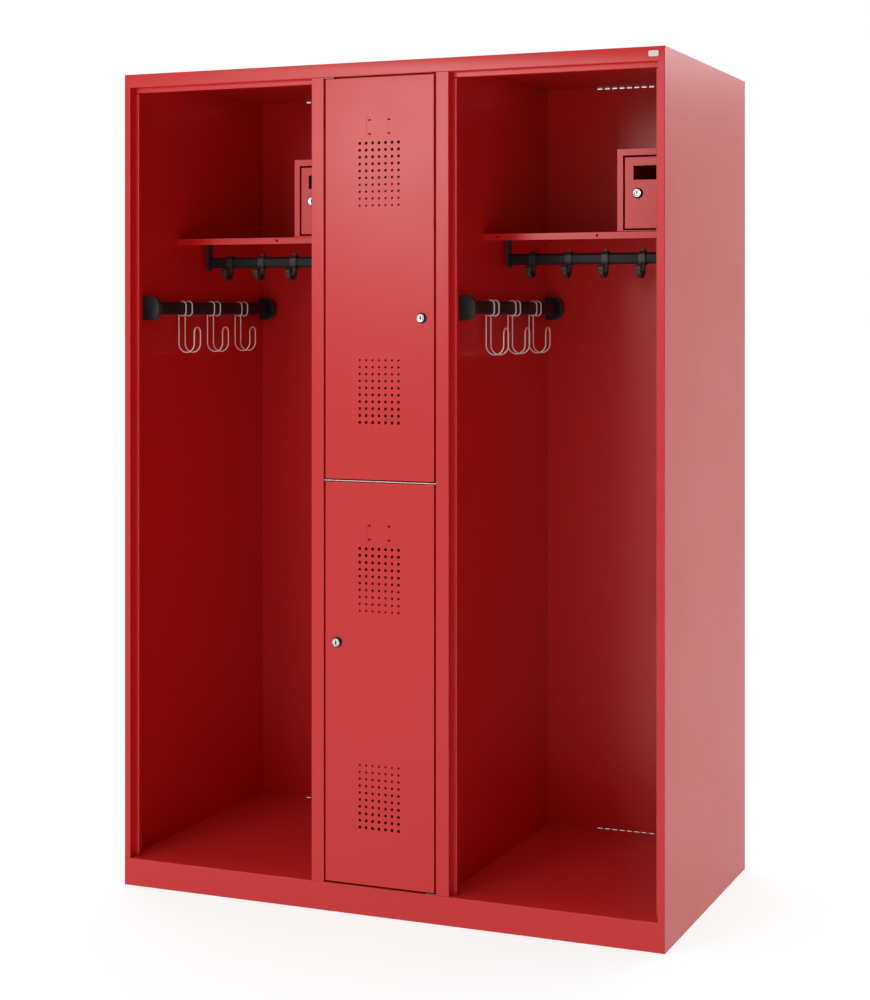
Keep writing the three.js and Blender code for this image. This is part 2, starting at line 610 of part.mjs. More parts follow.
// Hollow cap open towards the middle of the rail, with a socket that grips the rail's end
function railCap(closedY, direction) {
  const openY = closedY + direction * CAP_LENGTH;
  const floorY = closedY + direction * CAP_WALL;
  const span = (a, b) => [Math.min(a, b), Math.max(a, b)];
  const shell = prismAlongY(capOutline(0), ...span(closedY, openY), 5)
    .subtract(prismAlongY(capOutline(CAP_WALL), ...span(floorY, openY + direction), 5));
  const socketEnd = floorY + direction * CAP_SOCKET;
  const grip = SIDE_RAIL.map((size) => size + 2 * GAP);
  const socket = prismAlongY(ovalShape(SIDE_RAIL_X, SIDE_RAIL_Z, grip[0] + 4, grip[1] + 4),
    ...span(floorY - direction, socketEnd), 4);
  const bore = prismAlongY(ovalShape(SIDE_RAIL_X, SIDE_RAIL_Z, ...grip),
    ...span(floorY, socketEnd + direction), 4);
  return shell.add(socket).subtract(bore);
}

// Route through given corners, with one step from each corner to the next
class Route extends THREE.Curve {
  constructor(corners) {
    super();
    this.corners = corners;
  }

  getPoint(t) {
    const place = t * (this.corners.length - 1);
    const first = Math.min(Math.floor(place + 1e-6), this.corners.length - 2);
    return this.corners[first].clone().lerp(this.corners[first + 1], place - first);
  }

  getPointAt(u) {
    return this.getPoint(u);
  }

  getTangentAt(u) {
    const reach = 0.5 / (this.corners.length - 1);
    const ahead = this.getPoint(Math.min(u + reach, 1));
    return ahead.sub(this.getPoint(Math.max(u - reach, 0))).normalize();
  }
}

function arcCorners(centre, radius, fromDegrees, toDegrees, steps) {
  return Array.from({ length: steps + 1 }, (_, i) => {
    const angle = THREE.MathUtils.degToRad(fromDegrees + ((toDegrees - fromDegrees) * i) / steps);
    return [centre[0] + radius * Math.cos(angle), centre[1] + radius * Math.sin(angle)];
  });
}

// One bent wire: two parallel J shapes joined at their tips, each wrapped over the rail
function wireHook() {
  const railR = SIDE_RAIL[0] / 2;
  const wrapR = railR + WIRE_PLAY + WIRE_R;
  const straight = SIDE_RAIL[1] / 2 - railR;
  const [x, z] = [SIDE_RAIL_X, SIDE_RAIL_Z];
  const bottomZ = z - SIDE_RAIL[1] / 2 - WIRE_DROP;
  const bowl = [x - wrapR + WIRE_U_R, bottomZ + WIRE_R + WIRE_U_R];
  const tipZ = bottomZ + WIRE_TIP_RISE;
  const halfGap = WIRE_SPACING / 2;
  const profile = [
    ...arcCorners([x, z - straight], wrapR, -125, 0, 3),
    ...arcCorners([x, z + straight], wrapR, 0, 180, 5),
    ...arcCorners(bowl, WIRE_U_R, 180, 360, 6),
  ];
  const tipX = bowl[0] + WIRE_U_R;
  const near = profile.map(([px, pz]) => new THREE.Vector3(px, -halfGap, pz));
  const far = near.map((corner) => corner.clone().setY(halfGap)).reverse();
  const bend = arcCorners([0, tipZ - halfGap], halfGap, 180, 0, 6)
    .map(([py, pz]) => new THREE.Vector3(tipX, py, pz));
  const route = new Route([...near, ...bend, ...far]);
  const section = new THREE.Shape(Array.from({ length: WIRE_SIDES }, (_, i) => {
    const angle = (2 * Math.PI * i) / WIRE_SIDES;
    return new THREE.Vector2(WIRE_R * Math.cos(angle), WIRE_R * Math.sin(angle));
  }));
  const wire = new THREE.ExtrudeGeometry(section, { steps: route.corners.length - 1, extrudePath: route });
  return toSolid(wire);
}

// ---- Assembly ----

function addCarcass(locker) {
  addPiece(locker, 'left_side_panel', sidePanel(-1), FINISH.paint);
  addPiece(locker, 'right_side_panel', sidePanel(1), FINISH.paint);
  addPiece(locker, 'top_panel', topPanel(), FINISH.paint);
  addPiece(locker, 'back_panel', backPanel(), FINISH.paint);
  addPiece(locker, 'plinth', plinth(), FINISH.paint);
  addPiece(locker, 'floor_panel', floorPanel(), FINISH.paint);
  addPiece(locker, 'left_divider', divider(-1), FINISH.paint);
  addPiece(locker, 'right_divider', divider(1), FINISH.paint);
  addPiece(locker, 'left_post', dividerPost(-1), FINISH.paint);
  addPiece(locker, 'right_post', dividerPost(1), FINISH.paint);
  addPiece(locker, 'centre_shelf', centreShelf(), FINISH.paint);
  addPiece(locker, 'middle_bar', middleBar(), FINISH.bright);
  addPiece(locker, 'badge_plate', badgePlate(), FINISH.plate);
}

// Small blank plate on the header
function badgePlate() {
  const [width, height, thick, corner] = [22, 12, 0.8, 3];
  const [x, z] = [626, HEIGHT - HEADER_FACE / 2];
  const shape = new THREE.Shape();
  shape.absarc(x + width / 2 - corner, z + height / 2 - corner, corner, 0, Math.PI / 2, false);
  shape.absarc(x - width / 2 + corner, z + height / 2 - corner, corner, Math.PI / 2, Math.PI, false);
  shape.absarc(x - width / 2 + corner, z - height / 2 + corner, corner, Math.PI, 1.5 * Math.PI, false);
  shape.absarc(x + width / 2 - corner, z - height / 2 + corner, corner, 1.5 * Math.PI, 2 * Math.PI, false);
  shape.closePath();
  return prismAlongY(shape, FRONT - GAP - thick, FRONT - GAP, 3);
}

function addDoor(locker, name, z0, z1, hingeSide, lockZ) {
  const lockX = -hingeSide * (DOOR_HALF - LOCK_INSET);
  const camY = LIP_Y + 2.4;
  addPiece(locker, name, doorPan(z0, z1, hingeSide, lockZ), FINISH.paint);
  addPiece(locker, `${name}_lock_case`, lockCase(lockX, lockZ, FRONT, camY - GAP - FRONT), FINISH.black);
  addPiece(locker, `${name}_lock_plug`, lockPlug(lockX, lockZ, FRONT, camY, DOOR_CAM_REACH), FINISH.chrome);
}

function addDoors(locker) {
  const upperTop = HEADER_UNDERSIDE - DOOR_TOP_GAP;
  const lowerBase = PLINTH_HEIGHT + DOOR_BOTTOM_GAP;
  addDoor(locker, 'upper_door', SPLIT_HIGH, upperTop, -1, upperTop - LOCK_LONG_END);
  addDoor(locker, 'lower_door', lowerBase, SPLIT_LOW, 1, lowerBase + LOCK_LONG_END);
  const washer = 2.2;
  const leaf = 0.9;
  addPiece(locker, 'upper_door_top_pivot', doorPivot(-1, HEADER_UNDERSIDE - GAP, washer, -1), FINISH.zinc);
  addPiece(locker, 'upper_door_bottom_pivot', doorPivot(-1, MIDDLE_BAR_HIGH + GAP, leaf, 1), FINISH.zinc);
  addPiece(locker, 'lower_door_top_pivot', doorPivot(1, MIDDLE_BAR_LOW - GAP, leaf, -1), FINISH.zinc);
  addPiece(locker, 'lower_door_bottom_pivot', doorPivot(1, PLINTH_HEIGHT + GAP, washer, 1), FINISH.zinc);
}

function addBay(locker, prefix, centreX) {
  const bay = new THREE.Group();
  bay.position.x = centreX;
  locker.add(bay);
  addPiece(bay, `${prefix}_hat_shelf`, hatShelf(), FINISH.paint);
  addPiece(bay, `${prefix}_safe_box`, safeBox(), FINISH.paint);
  addPiece(bay, `${prefix}_safe_door`, safeDoor(), FINISH.paint);
  const lockX = SAFE_DOOR.x0 + SAFE_LOCK[0];
  const lockZ = SAFE_DOOR.z1 - SAFE_LOCK[1];
  const camY = SHELF_FRONT + SAFE_PAN + 2;
  addPiece(bay, `${prefix}_safe_lock_case`,
    lockCase(lockX, lockZ, SHELF_FRONT, camY - GAP - SHELF_FRONT), FINISH.black);
  addPiece(bay, `${prefix}_safe_lock_plug`,
    lockPlug(lockX, lockZ, SHELF_FRONT, camY, SAFE_CAM_REACH), FINISH.chrome);
  addPiece(bay, `${prefix}_coat_rail`, coatRail(), FINISH.black);
  addPiece(bay, `${prefix}_coat_rail_left_bracket`, dropBracket(-1), FINISH.black);
  addPiece(bay, `${prefix}_coat_rail_right_bracket`, dropBracket(1), FINISH.black);
  COAT_HOOK_X.forEach((x, i) => {
    addPiece(bay, `${prefix}_coat_hook_${i + 1}`, coatHook(), FINISH.black).position.x = x;
  });
  addPiece(bay, `${prefix}_side_rail`, sideRail(), FINISH.black);
  addPiece(bay, `${prefix}_side_rail_front_cap`, railCap(FRONT_CAP_Y, 1), FINISH.black);
  addPiece(bay, `${prefix}_side_rail_rear_cap`, railCap(REAR_CAP_Y, -1), FINISH.black);
  WIRE_HOOK_Y.forEach((y, i) => {
    addPiece(bay, `${prefix}_wire_hook_${i + 1}`, wireHook(), FINISH.chrome).position.y = y;
  });
}

const locker = new THREE.Group();
addCarcass(locker);
addDoors(locker);
addBay(locker, 'left_bay', -BAY_CENTRE);
addBay(locker, 'right_bay', BAY_CENTRE);

export default locker;
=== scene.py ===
"""Three-column steel locker: two open bays with rails and hooks, and a centre column with two doors.

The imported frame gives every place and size. This script dresses it: folded sheet steel with powder
coat, pierced doors, cylinder locks, rails, sliding hooks and the small fixings.
"""

from __future__ import annotations

import json
import logging
import math
from dataclasses import dataclass
from enum import Enum
from typing import Iterable, Sequence

import bmesh
import bpy
from mathutils import Matrix, Vector

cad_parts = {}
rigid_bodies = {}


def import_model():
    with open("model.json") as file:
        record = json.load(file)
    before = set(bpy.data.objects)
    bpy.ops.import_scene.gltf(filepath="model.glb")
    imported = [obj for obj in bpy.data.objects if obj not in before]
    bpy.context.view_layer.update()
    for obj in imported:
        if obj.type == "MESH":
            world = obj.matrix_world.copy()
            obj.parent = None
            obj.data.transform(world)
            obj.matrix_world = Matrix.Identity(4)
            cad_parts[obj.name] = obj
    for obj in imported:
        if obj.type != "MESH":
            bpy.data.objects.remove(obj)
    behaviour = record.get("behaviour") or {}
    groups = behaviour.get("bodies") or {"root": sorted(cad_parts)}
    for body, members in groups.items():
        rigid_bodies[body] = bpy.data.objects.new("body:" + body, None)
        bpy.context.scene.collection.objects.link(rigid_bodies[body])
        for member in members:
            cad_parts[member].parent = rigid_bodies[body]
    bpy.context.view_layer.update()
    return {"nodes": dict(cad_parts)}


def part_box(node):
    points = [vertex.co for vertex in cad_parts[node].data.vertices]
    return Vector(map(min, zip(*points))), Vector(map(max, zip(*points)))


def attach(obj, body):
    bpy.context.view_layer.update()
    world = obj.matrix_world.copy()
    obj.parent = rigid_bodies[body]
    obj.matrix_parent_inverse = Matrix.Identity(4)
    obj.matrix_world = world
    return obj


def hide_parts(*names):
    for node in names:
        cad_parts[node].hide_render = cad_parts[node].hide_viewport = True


MM = 0.001
SHEET = 1.2 * MM
WHITE = (1.0, 1.0, 1.0, 1.0)
Colour = tuple[float, float, float]
Point = tuple[float, float]
Outline = list[Point]
Socket = bpy.types.NodeSocket
log = logging.getLogger("locker")


class Slot(Enum):
    """Finishes that the record names."""

    RED_PAINT = "red_paint"
    ZINC = "zinc"
    BRIGHT_STEEL = "bright_steel"
    LOCK_CHROME = "lock_chrome"
    CHROME_WIRE = "chrome_wire"
    LOCK_BLACK = "lock_black"
    BLACK_PLASTIC = "black_plastic"
    BLACK_RAIL = "black_rail"
    BADGE = "badge"


class Axis(Enum):
    """Direction that an outline is drawn along; the outline lies in the other two."""

    X = "x"
    Y = "y"
    Z = "z"

    def place(self, a: float, b: float, along: float) -> Vector:
        """Puts an outline point at a station along the axis."""
        return Vector({"x": (along, a, b), "y": (a, along, b), "z": (a, b, along)}[self.value])


class Facing(Enum):
    """Which way a punched sheet faces."""

    FRONT = (math.pi / 2, 0.0, 0.0)
    LEVEL = (0.0, 0.0, 0.0)


# ---- Node trees ----------------------------------------------------------------------------------


@dataclass
class TreeWriter:
    """Adds labelled nodes to a tree, each with its settings, values and links in one call."""

    tree: bpy.types.NodeTree
    frame: bpy.types.Node | None = None

    def group(self, label: str) -> None:
        """Starts a frame that takes the nodes that follow."""
        self.frame = self.tree.nodes.new("NodeFrame")
        self.frame.label = label

    def feed(self, node: bpy.types.Node, key: str | int, value: object) -> None:
        """Gives an input a value, or links it when the value is an output."""
        if isinstance(value, Socket):
            self.tree.links.new(value, node.inputs[key])
        else:
            node.inputs[key].default_value = value

    def add(self, kind: str, label: str, place: Point, inputs: dict | None = None,
            **settings: object) -> bpy.types.Node:
        """Adds one node.

        Args:
            kind: Type of the node.
            label: What the node does here.
            place: Where it stands in the editor.
            inputs: Value or output for each input, by its name or number.
            settings: The node's own properties.

        Returns:
            The node.
        """
        node = self.tree.nodes.new(kind)
        node.label, node.location, node.parent = label, place, self.frame
        for key, value in settings.items():
            setattr(node, key, value)
        for key, value in (inputs or {}).items():
            self.feed(node, key, value)
        return node

    def split(self, label: str, place: Point, vector: Socket) -> bpy.types.NodeOutputs:
        """Adds a split of a vector into X, Y and Z."""
        return self.add("ShaderNodeSeparateXYZ", label, place, {"Vector": vector}).outputs

    def noise(self, label: str, place: Point, at: Socket, scale: float, detail: float,
              roughness: float = 0.5) -> Socket:
        """Adds a noise pattern."""
        return self.add("ShaderNodeTexNoise", label, place, {
            "Vector": at, "Scale": scale, "Detail": detail, "Roughness": roughness}).outputs["Fac"]

    def spread(self, label: str, place: Point, value: Socket, reach: Point, change: Point) -> Socket:
        """Adds a map from one range to another."""
        return self.add("ShaderNodeMapRange", label, place, {
            "Value": value, "From Min": reach[0], "From Max": reach[1],
            "To Min": change[0], "To Max": change[1]}).outputs["Result"]

    def maths(self, operation: str, label: str, place: Point, first: object, second: object,
              clamp: bool = False) -> Socket:
        """Adds a sum or product."""
        return self.add("ShaderNodeMath", label, place, {0: first, 1: second},
                        operation=operation, use_clamp=clamp).outputs["Value"]

    def blend(self, label: str, place: Point, share: Socket, first: object, second: object) -> Socket:
        """Adds a mix of two colours."""
        return self.add("ShaderNodeMix", label, place, {0: share, 6: first, 7: second},
                        data_type="RGBA").outputs[2]

    def relief(self, label: str, place: Point, height: Socket, strength: float,
               distance: float) -> bpy.types.Node:
        """Adds a bump."""
        return self.add("ShaderNodeBump", label, place, {
            "Height": height, "Strength": strength, "Distance": distance})


class Surface(TreeWriter):
    """A new material with one shader, placed by the coordinates of the object."""

    def __init__(self, name: str, label: str, left: float, right: float, values: dict) -> None:
        """Opens the material.

        Args:
            name: Name of the material.
            label: What the shader stands for.
            left: Where the coordinates stand in the editor.
            right: Where the shader stands in the editor.
            values: Constants of the shader, by input.
        """
        self.material = bpy.data.materials.new(name)
        self.material.use_nodes = True
        self.material.node_tree.nodes.clear()
        super().__init__(self.material.node_tree)
        self.shader = self.add("ShaderNodeBsdfPrincipled", label, (right, 100), values)
        self.add("ShaderNodeOutputMaterial", "Finished surface", (right + 300, 100),
                 {"Surface": self.shader.outputs["BSDF"]})
        self.at = self.add("ShaderNodeTexCoord", "Place on the object", (left, 0)).outputs["Object"]

    def dress(self, key: str, value: Socket) -> None:
        """Links an output to the shader."""
        self.feed(self.shader, key, value)


# ---- Finishes ------------------------------------------------------------------------------------


@dataclass(frozen=True)
class CoatedSteel:
    """Baked powder coat over sheet or tube: an even colour with a fine orange-peel skin."""

    name: str
    colour: Colour
    deep: Colour
    fold_wear_and_highlight_colour: Colour
    roughness: Point
    peel: float
    dust: float = 0.03
    specular: float = 0.52
    slack: float = 0.07

    def build(self) -> bpy.types.Material:
        """Writes the node tree.

        Returns:
            The finished material.
        """
        coat = Surface(self.name, "Powder coat", -1300, 1200, {"Specular IOR Level": self.specular})

        coat.group("Colour of the coat")
        cloud = coat.noise("Slow drift of film thickness", (-900, 500), coat.at, 2.2, 3.0, 0.55)
        drift = coat.spread("Depth of the drift", (-700, 500), cloud, (0.3, 0.7), (0.0, 0.4))
        grain = coat.noise("Pigment grain", (-900, 250), coat.at, 900.0, 2.0)
        speck = coat.spread("Depth of the grain", (-700, 250), grain, (0.35, 0.7), (0.0, 0.22))
        both = coat.maths("ADD", "Drift and grain", (-500, 400), drift, speck, clamp=True)
        body = coat.blend("Thin to full coat", (-300, 450), both, (*self.colour, 1.0), (*self.deep, 1.0))

        # Folds and sheet edges turn paler in patches: partly rub wear, partly a painted highlight along the
        # folds.
        coat.group("Folds paler by wear and painted highlight, settled dust")
        folds = coat.add("ShaderNodeAttribute", "Folds and sheet edges", (-900, -50), attribute_name="fold")
        patch = coat.noise("Patches of wear and painted highlight", (-900, -250), coat.at, 28.0, 4.0)
        wear_and_highlight_patches = coat.spread("Where wear and painted highlight show", (-700, -250), patch, (0.42, 0.68), (0.18, 0.8))
        share = coat.maths("MULTIPLY", "Wear and painted highlight on folds only", (-500, -150), folds.outputs["Fac"], wear_and_highlight_patches)
        worn_and_highlit_folds = coat.blend("Paler folds: wear and painted highlight", (-100, 300), share, body, (*self.fold_wear_and_highlight_colour, 1.0))
        shape = coat.add("ShaderNodeNewGeometry", "Which way a face looks", (-900, -500))
        upright = coat.split("Upward share", (-700, -500), shape.outputs["Normal"])["Z"]
        level = coat.spread("Dust on level faces", (-500, -500), upright, (0.8, 1.0), (0.0, self.dust))
        dusty = coat.blend("Dust over the coat", (150, 250), level, worn_and_highlit_folds, (0.55, 0.5, 0.46, 1.0))
        coat.dress("Base Color", dusty)

        coat.group("Gloss of the coat")
        haze = coat.noise("Uneven curing", (300, -250), coat.at, 5.0, 3.0)
        gloss = coat.spread("Roughness of the coat", (550, -250), haze, (0.3, 0.7), self.roughness)
        coat.dress("Roughness", gloss)

        coat.group("Orange-peel skin")
        peel = coat.noise("Peel of the powder", (300, -600), coat.at, 420.0, 1.5)
        pull = coat.noise("Slack in the sheet", (300, -850), coat.at, 3.4, 1.0)
        slack = coat.relief("Slack as relief", (600, -850), pull, self.slack, 0.0016)
        relief = coat.relief("Peel as relief", (850, -600), peel, self.peel, 0.00012)
        coat.feed(relief, "Normal", slack.outputs["Normal"])
        coat.dress("Normal", relief.outputs["Normal"])
        return coat.material


@dataclass(frozen=True)
class BrightMetal:
    """Plated or drawn metal with fine lines along one direction and a few handled patches."""

    name: str
    colour: Colour
    dull: Colour
    roughness: Point
    line_stretch: tuple[float, float, float]
    line_depth: float
    metallic: float = 1.0

    def build(self) -> bpy.types.Material:
        """Writes the node tree.

        Returns:
            The finished material.
        """
        metal = Surface(self.name, "Plating", -1000, 900, {"Metallic": self.metallic})

        metal.group("Tone of the plating")
        spangle = metal.add("ShaderNodeTexVoronoi", "Crystal patches", (-600, 400),
                            {"Vector": metal.at, "Scale": 160.0})
        patch = metal.noise("Dull patches", (-600, 150), metal.at, 60.0, 4.0)
        share = metal.maths("MULTIPLY", "Dull crystals", (-350, 300), spangle.outputs["Distance"], patch)
        tint = metal.blend("Bright to dull", (-100, 300), share, (*self.colour, 1.0), (*self.dull, 1.0))
        metal.dress("Base Color", tint)

        metal.group("Polish")
        polish = metal.spread("Roughness of the polish", (200, -100), patch, (0.3, 0.75), self.roughness)
        metal.dress("Roughness", polish)

        metal.group("Drawing lines")
        stretch = metal.add("ShaderNodeMapping", "Lines run one way", (-600, -400),
                            {"Vector": metal.at, "Scale": self.line_stretch})
        scratch = metal.noise("Fine lines", (-300, -400), stretch.outputs["Vector"], 1.0, 3.0)
        relief = metal.relief("Lines as relief", (300, -400), scratch, self.line_depth, 0.0001)
        metal.dress("Normal", relief.outputs["Normal"])
        return metal.material


@dataclass(frozen=True)
class MouldedPlastic:
    """Injection-moulded nylon with a fine spark-eroded grain."""

    name: str
    colour: Colour
    scuffed: Colour
    roughness: Point
    grain: float

    def build(self) -> bpy.types.Material:
        """Writes the node tree.

        Returns:
            The finished material.
        """
        nylon = Surface(self.name, "Nylon", -900, 700, {})

        nylon.group("Colour and scuffs")
        scuff = nylon.noise("Scuffed patches", (-500, 300), nylon.at, 45.0, 5.0)
        shown = nylon.spread("Where scuffs show", (-250, 300), scuff, (0.45, 0.75), (0.0, 1.0))
        tint = nylon.blend("Clean to scuffed", (0, 300), shown, (*self.colour, 1.0), (*self.scuffed, 1.0))
        nylon.dress("Base Color", tint)
        gloss = nylon.spread("Roughness of the moulding", (0, 50), scuff, (0.0, 1.0), self.roughness)
        nylon.dress("Roughness", gloss)

        nylon.group("Mould grain")
        pebble = nylon.noise("Spark-eroded grain", (-500, -250), nylon.at, 1300.0, 2.0)
        relief = nylon.relief("Grain as relief", (300, -250), pebble, self.grain, 0.0001)
        nylon.dress("Normal", relief.outputs["Normal"])
        return nylon.material


@dataclass(frozen=True)
class Finishes:
    """Every finish on the locker, by its slot."""

    # The fourth colour of each coat is its fold colour: partly wear, partly a painted highlight along the
    # folds.
    red: CoatedSteel = CoatedSteel(
        "red powder coat", (0.65, 0.011, 0.010), (0.62, 0.009, 0.008), (0.65, 0.06, 0.05), (0.29, 0.33), 0.2)
    rail: CoatedSteel = CoatedSteel(
        "black rail coat", (0.018, 0.019, 0.019), (0.010, 0.011, 0.011), (0.05, 0.05, 0.05),
        (0.38, 0.48), 0.18, dust=0.05, specular=0.2)
    badge: CoatedSteel = CoatedSteel(
        "pale badge lacquer", (0.74, 0.72, 0.70), (0.66, 0.64, 0.62), (0.8, 0.78, 0.76), (0.3, 0.42), 0.12)
    # The zinc is coloured dark, faintly red grey as painted shade: the pivots sit in the shaded door gaps,
    # and the nut, cam and screws share it.
    zinc: BrightMetal = BrightMetal(
        "zinc plate", (0.20, 0.18, 0.18), (0.11, 0.10, 0.10), (0.36, 0.5), (30.0, 900.0, 900.0), 0.25)
    # The wire's pink-white colour, with hardly any metal, is a painted reflection of the red walls in chrome.
    wire: BrightMetal = BrightMetal(
        "chromed wire", (0.99, 0.86, 0.84), (0.98, 0.84, 0.82), (0.14, 0.22),
        (300.0, 300.0, 40.0), 0.03, 0.05)
    # The strip's warm pink colour is a painted reflection of the red doors in polished steel.
    strip: BrightMetal = BrightMetal(
        "bright steel strip", (0.92, 0.60, 0.56), (0.82, 0.46, 0.43), (0.24, 0.36),
        (900.0, 30.0, 30.0), 0.12, 0.6)
    lock: BrightMetal = BrightMetal(
        "lock chrome", (0.88, 0.88, 0.88), (0.78, 0.78, 0.78), (0.16, 0.3), (500.0, 500.0, 500.0), 0.1)
    lock_body: MouldedPlastic = MouldedPlastic(
        "black lock bezel", (0.011, 0.011, 0.012), (0.02, 0.02, 0.021), (0.28, 0.42), 0.12)
    nylon: MouldedPlastic = MouldedPlastic(
        "black nylon", (0.024, 0.031, 0.032), (0.038, 0.046, 0.047), (0.36, 0.5), 0.3)

    def dressed(self) -> dict[Slot, bpy.types.Material]:
        """Builds every material once.

        Returns:
            The materials by slot.
        """
        return {
            Slot.RED_PAINT: self.red.build(),
            Slot.BLACK_RAIL: self.rail.build(),
            Slot.BADGE: self.badge.build(),
            Slot.ZINC: self.zinc.build(),
            Slot.BRIGHT_STEEL: self.strip.build(),
            Slot.CHROME_WIRE: self.wire.build(),
            Slot.LOCK_CHROME: self.lock.build(),
            Slot.LOCK_BLACK: self.lock_body.build(),
            Slot.BLACK_PLASTIC: self.nylon.build(),
        }


# ---- Studio --------------------------------------------------------------------------------------


@dataclass(frozen=True)
class SoftLight:
    """One large rectangular lamp."""

    name: str
    place: tuple[float, float, float]
    target: tuple[float, float, float]
    size: Point
    power: float

    def hang(self) -> None:
        """Adds the lamp, turned to its target."""
        lamp = bpy.data.lights.new(self.name, "AREA")
        lamp.shape = "RECTANGLE"
        lamp.size, lamp.size_y = self.size
        lamp.energy = self.power
        holder = bpy.data.objects.new(self.name, lamp)
        holder.location = self.place
        aim = Vector(self.target) - Vector(self.place)
        holder.rotation_euler = aim.to_track_quat("-Z", "Y").to_euler()
        bpy.context.scene.collection.objects.link(holder)


@dataclass(frozen=True)
class Studio:
    """Pale floor, white surroundings that fall off to the right, two soft lamps and the camera."""

    camera_place: tuple[float, float, float] = (1.7918, -3.7455, 1.2998)
    camera_heading: float = 20.085
    lens: float = 64.184
    shift: Point = (-0.1753, -0.1843)
    surround: float = 1.0
    right_drop: float = 1.0
    front_drop: float = 0.64
    overhead_rise: float = 0.55
    floor_half: float = 90.0
    floor_glow: float = 0.75
    lights: tuple[SoftLight, ...] = (
        SoftLight("front lamp", (-1.5, -3.9, 2.12), (0.0, -0.3, 1.5), (1.4, 0.9), 30.0),
        SoftLight("rear side lamp", (2.3, 4.2, 3.3), (0.65, 0.0, 1.6), (2.0, 1.6), 27.0),
    )

    def open(self) -> None:
        """Sets up the whole studio."""
        scene = bpy.context.scene
        scene.view_settings.view_transform = "Standard"
        self._camera(scene)
        self._surround(scene)
        self._floor(scene)
        for light in self.lights:
            light.hang()

    def _camera(self, scene: bpy.types.Scene) -> None:
        """Adds the camera."""
        lens = bpy.data.cameras.new("camera")
        lens.lens = self.lens
        lens.sensor_width = 36.0
        lens.shift_x, lens.shift_y = self.shift
        lens.clip_start, lens.clip_end = 0.05, 400.0
        camera = bpy.data.objects.new("camera", lens)
        camera.location = self.camera_place
        camera.rotation_euler = (math.pi / 2, 0.0, math.radians(self.camera_heading))
        scene.collection.objects.link(camera)
        scene.camera = camera

    def _surround(self, scene: bpy.types.Scene) -> None:
        """Lights the room: brightest overhead, dimmer to the right and in front."""
        world = bpy.data.worlds.new("white room")
        world.use_nodes = True
        world.node_tree.nodes.clear()
        room = TreeWriter(world.node_tree)
        look = room.add("ShaderNodeTexCoord", "Direction", (-1200, 0)).outputs["Generated"]
        split = room.split("Right, back and up", (-1000, 0), look)
        falls = (("Dimmer to the right", "X", (0.35, 0.9), (0.0, -self.right_drop)),
                 ("Dimmer in front", "Y", (-0.45, 0.0), (-self.front_drop, 0.0)),
                 ("Brighter overhead", "Z", (0.25, 1.0), (0.0, self.overhead_rise)))
        strength: float | Socket = self.surround
        for step, (label, way, reach, change) in enumerate(falls):
            fall = room.spread(label, (-800, 250 - 250 * step), split[way], reach, change)
            strength = room.maths("ADD", "Strength so far", (-600 + 180 * step, 100), strength, fall)
        light = room.add("ShaderNodeBackground", "White light", (0, 0),
                         {"Color": WHITE, "Strength": strength})
        room.add("ShaderNodeOutputWorld", "Room", (300, 0), {"Surface": light.outputs["Background"]})
        scene.world = world

    def _floor(self, scene: bpy.types.Scene) -> None:
        """Lays the pale floor."""
        mesh = bpy.data.meshes.new("pale floor")
        h = self.floor_half
        mesh.from_pydata([(-h, -h, 0), (h, -h, 0), (h, h, 0), (-h, h, 0)], [], [(0, 1, 2, 3)])
        pale = Surface("pale floor", "Pale floor", -900, 0, {
            "Emission Color": WHITE, "Emission Strength": self.floor_glow,
            "Specular IOR Level": 0.1, "Roughness": 0.9})
        cloud = pale.noise("Slight mottling", (-600, 200), pale.at, 0.8, 2.0)
        tint = pale.blend("Pale tones", (-300, 200), cloud, (0.29, 0.30, 0.30, 1.0), (0.32, 0.33, 0.33, 1.0))
        pale.dress("Base Color", tint)
        mesh.materials.append(pale.material)
        floor = bpy.data.objects.new("pale_floor", mesh)
        scene.collection.objects.link(floor)


# ---- Mesh work -----------------------------------------------------------------------------------


def circle(centre: Point, radius: float, count: int = 48) -> Outline:
    """Round outline."""
    turns = (2 * math.pi * i / count for i in range(count))
    return [(centre[0] + radius * math.cos(t), centre[1] + radius * math.sin(t)) for t in turns]


def oval(centre: Point, width: float, height: float, count: int = 20) -> Outline:
    """Outline with straight flanks and half-round ends, the long way up.

    Args:
        centre: Middle of the outline.
        width: Short size, across the flanks.
        height: Long size.
        count: Steps in each half-round end.

    Returns:
        The points, counter-clockwise.
    """
    radius = width / 2
    straight = height / 2 - radius
    points: Outline = []
    for start, lift in ((0.0, straight), (math.pi, -straight)):
        for i in range(count + 1):
            turn = start + math.pi * i / count
            points.append((centre[0] + radius * math.cos(turn), centre[1] + lift + radius * math.sin(turn)))
    return points


def arc(centre: Point, radius: float, start: float, end: float, steps: int) -> Outline:
    """Points along an arc, with angles in degrees."""
    turns = (math.radians(start + (end - start) * i / steps) for i in range(steps + 1))
    return [(centre[0] + radius * math.cos(t), centre[1] + radius * math.sin(t)) for t in turns]


def superellipse(centre: Point, half_width: float, half_height: float,
                 count: int = 24) -> Outline:
    """Outline between an oval and a rectangle.

    Args:
        centre: Middle of the outline.
        half_width: Half its first size.
        half_height: Half its second size.
        count: Points round it.

    Returns:
        The points.
    """
    points: Outline = []
    for i in range(count):
        turn = 2 * math.pi * i / count
        c, s = math.cos(turn), math.sin(turn)
        points.append((centre[0] + half_width * math.copysign(abs(c) ** 0.5, c),
                       centre[1] + half_height * math.copysign(abs(s) ** 0.5, s)))
    return points


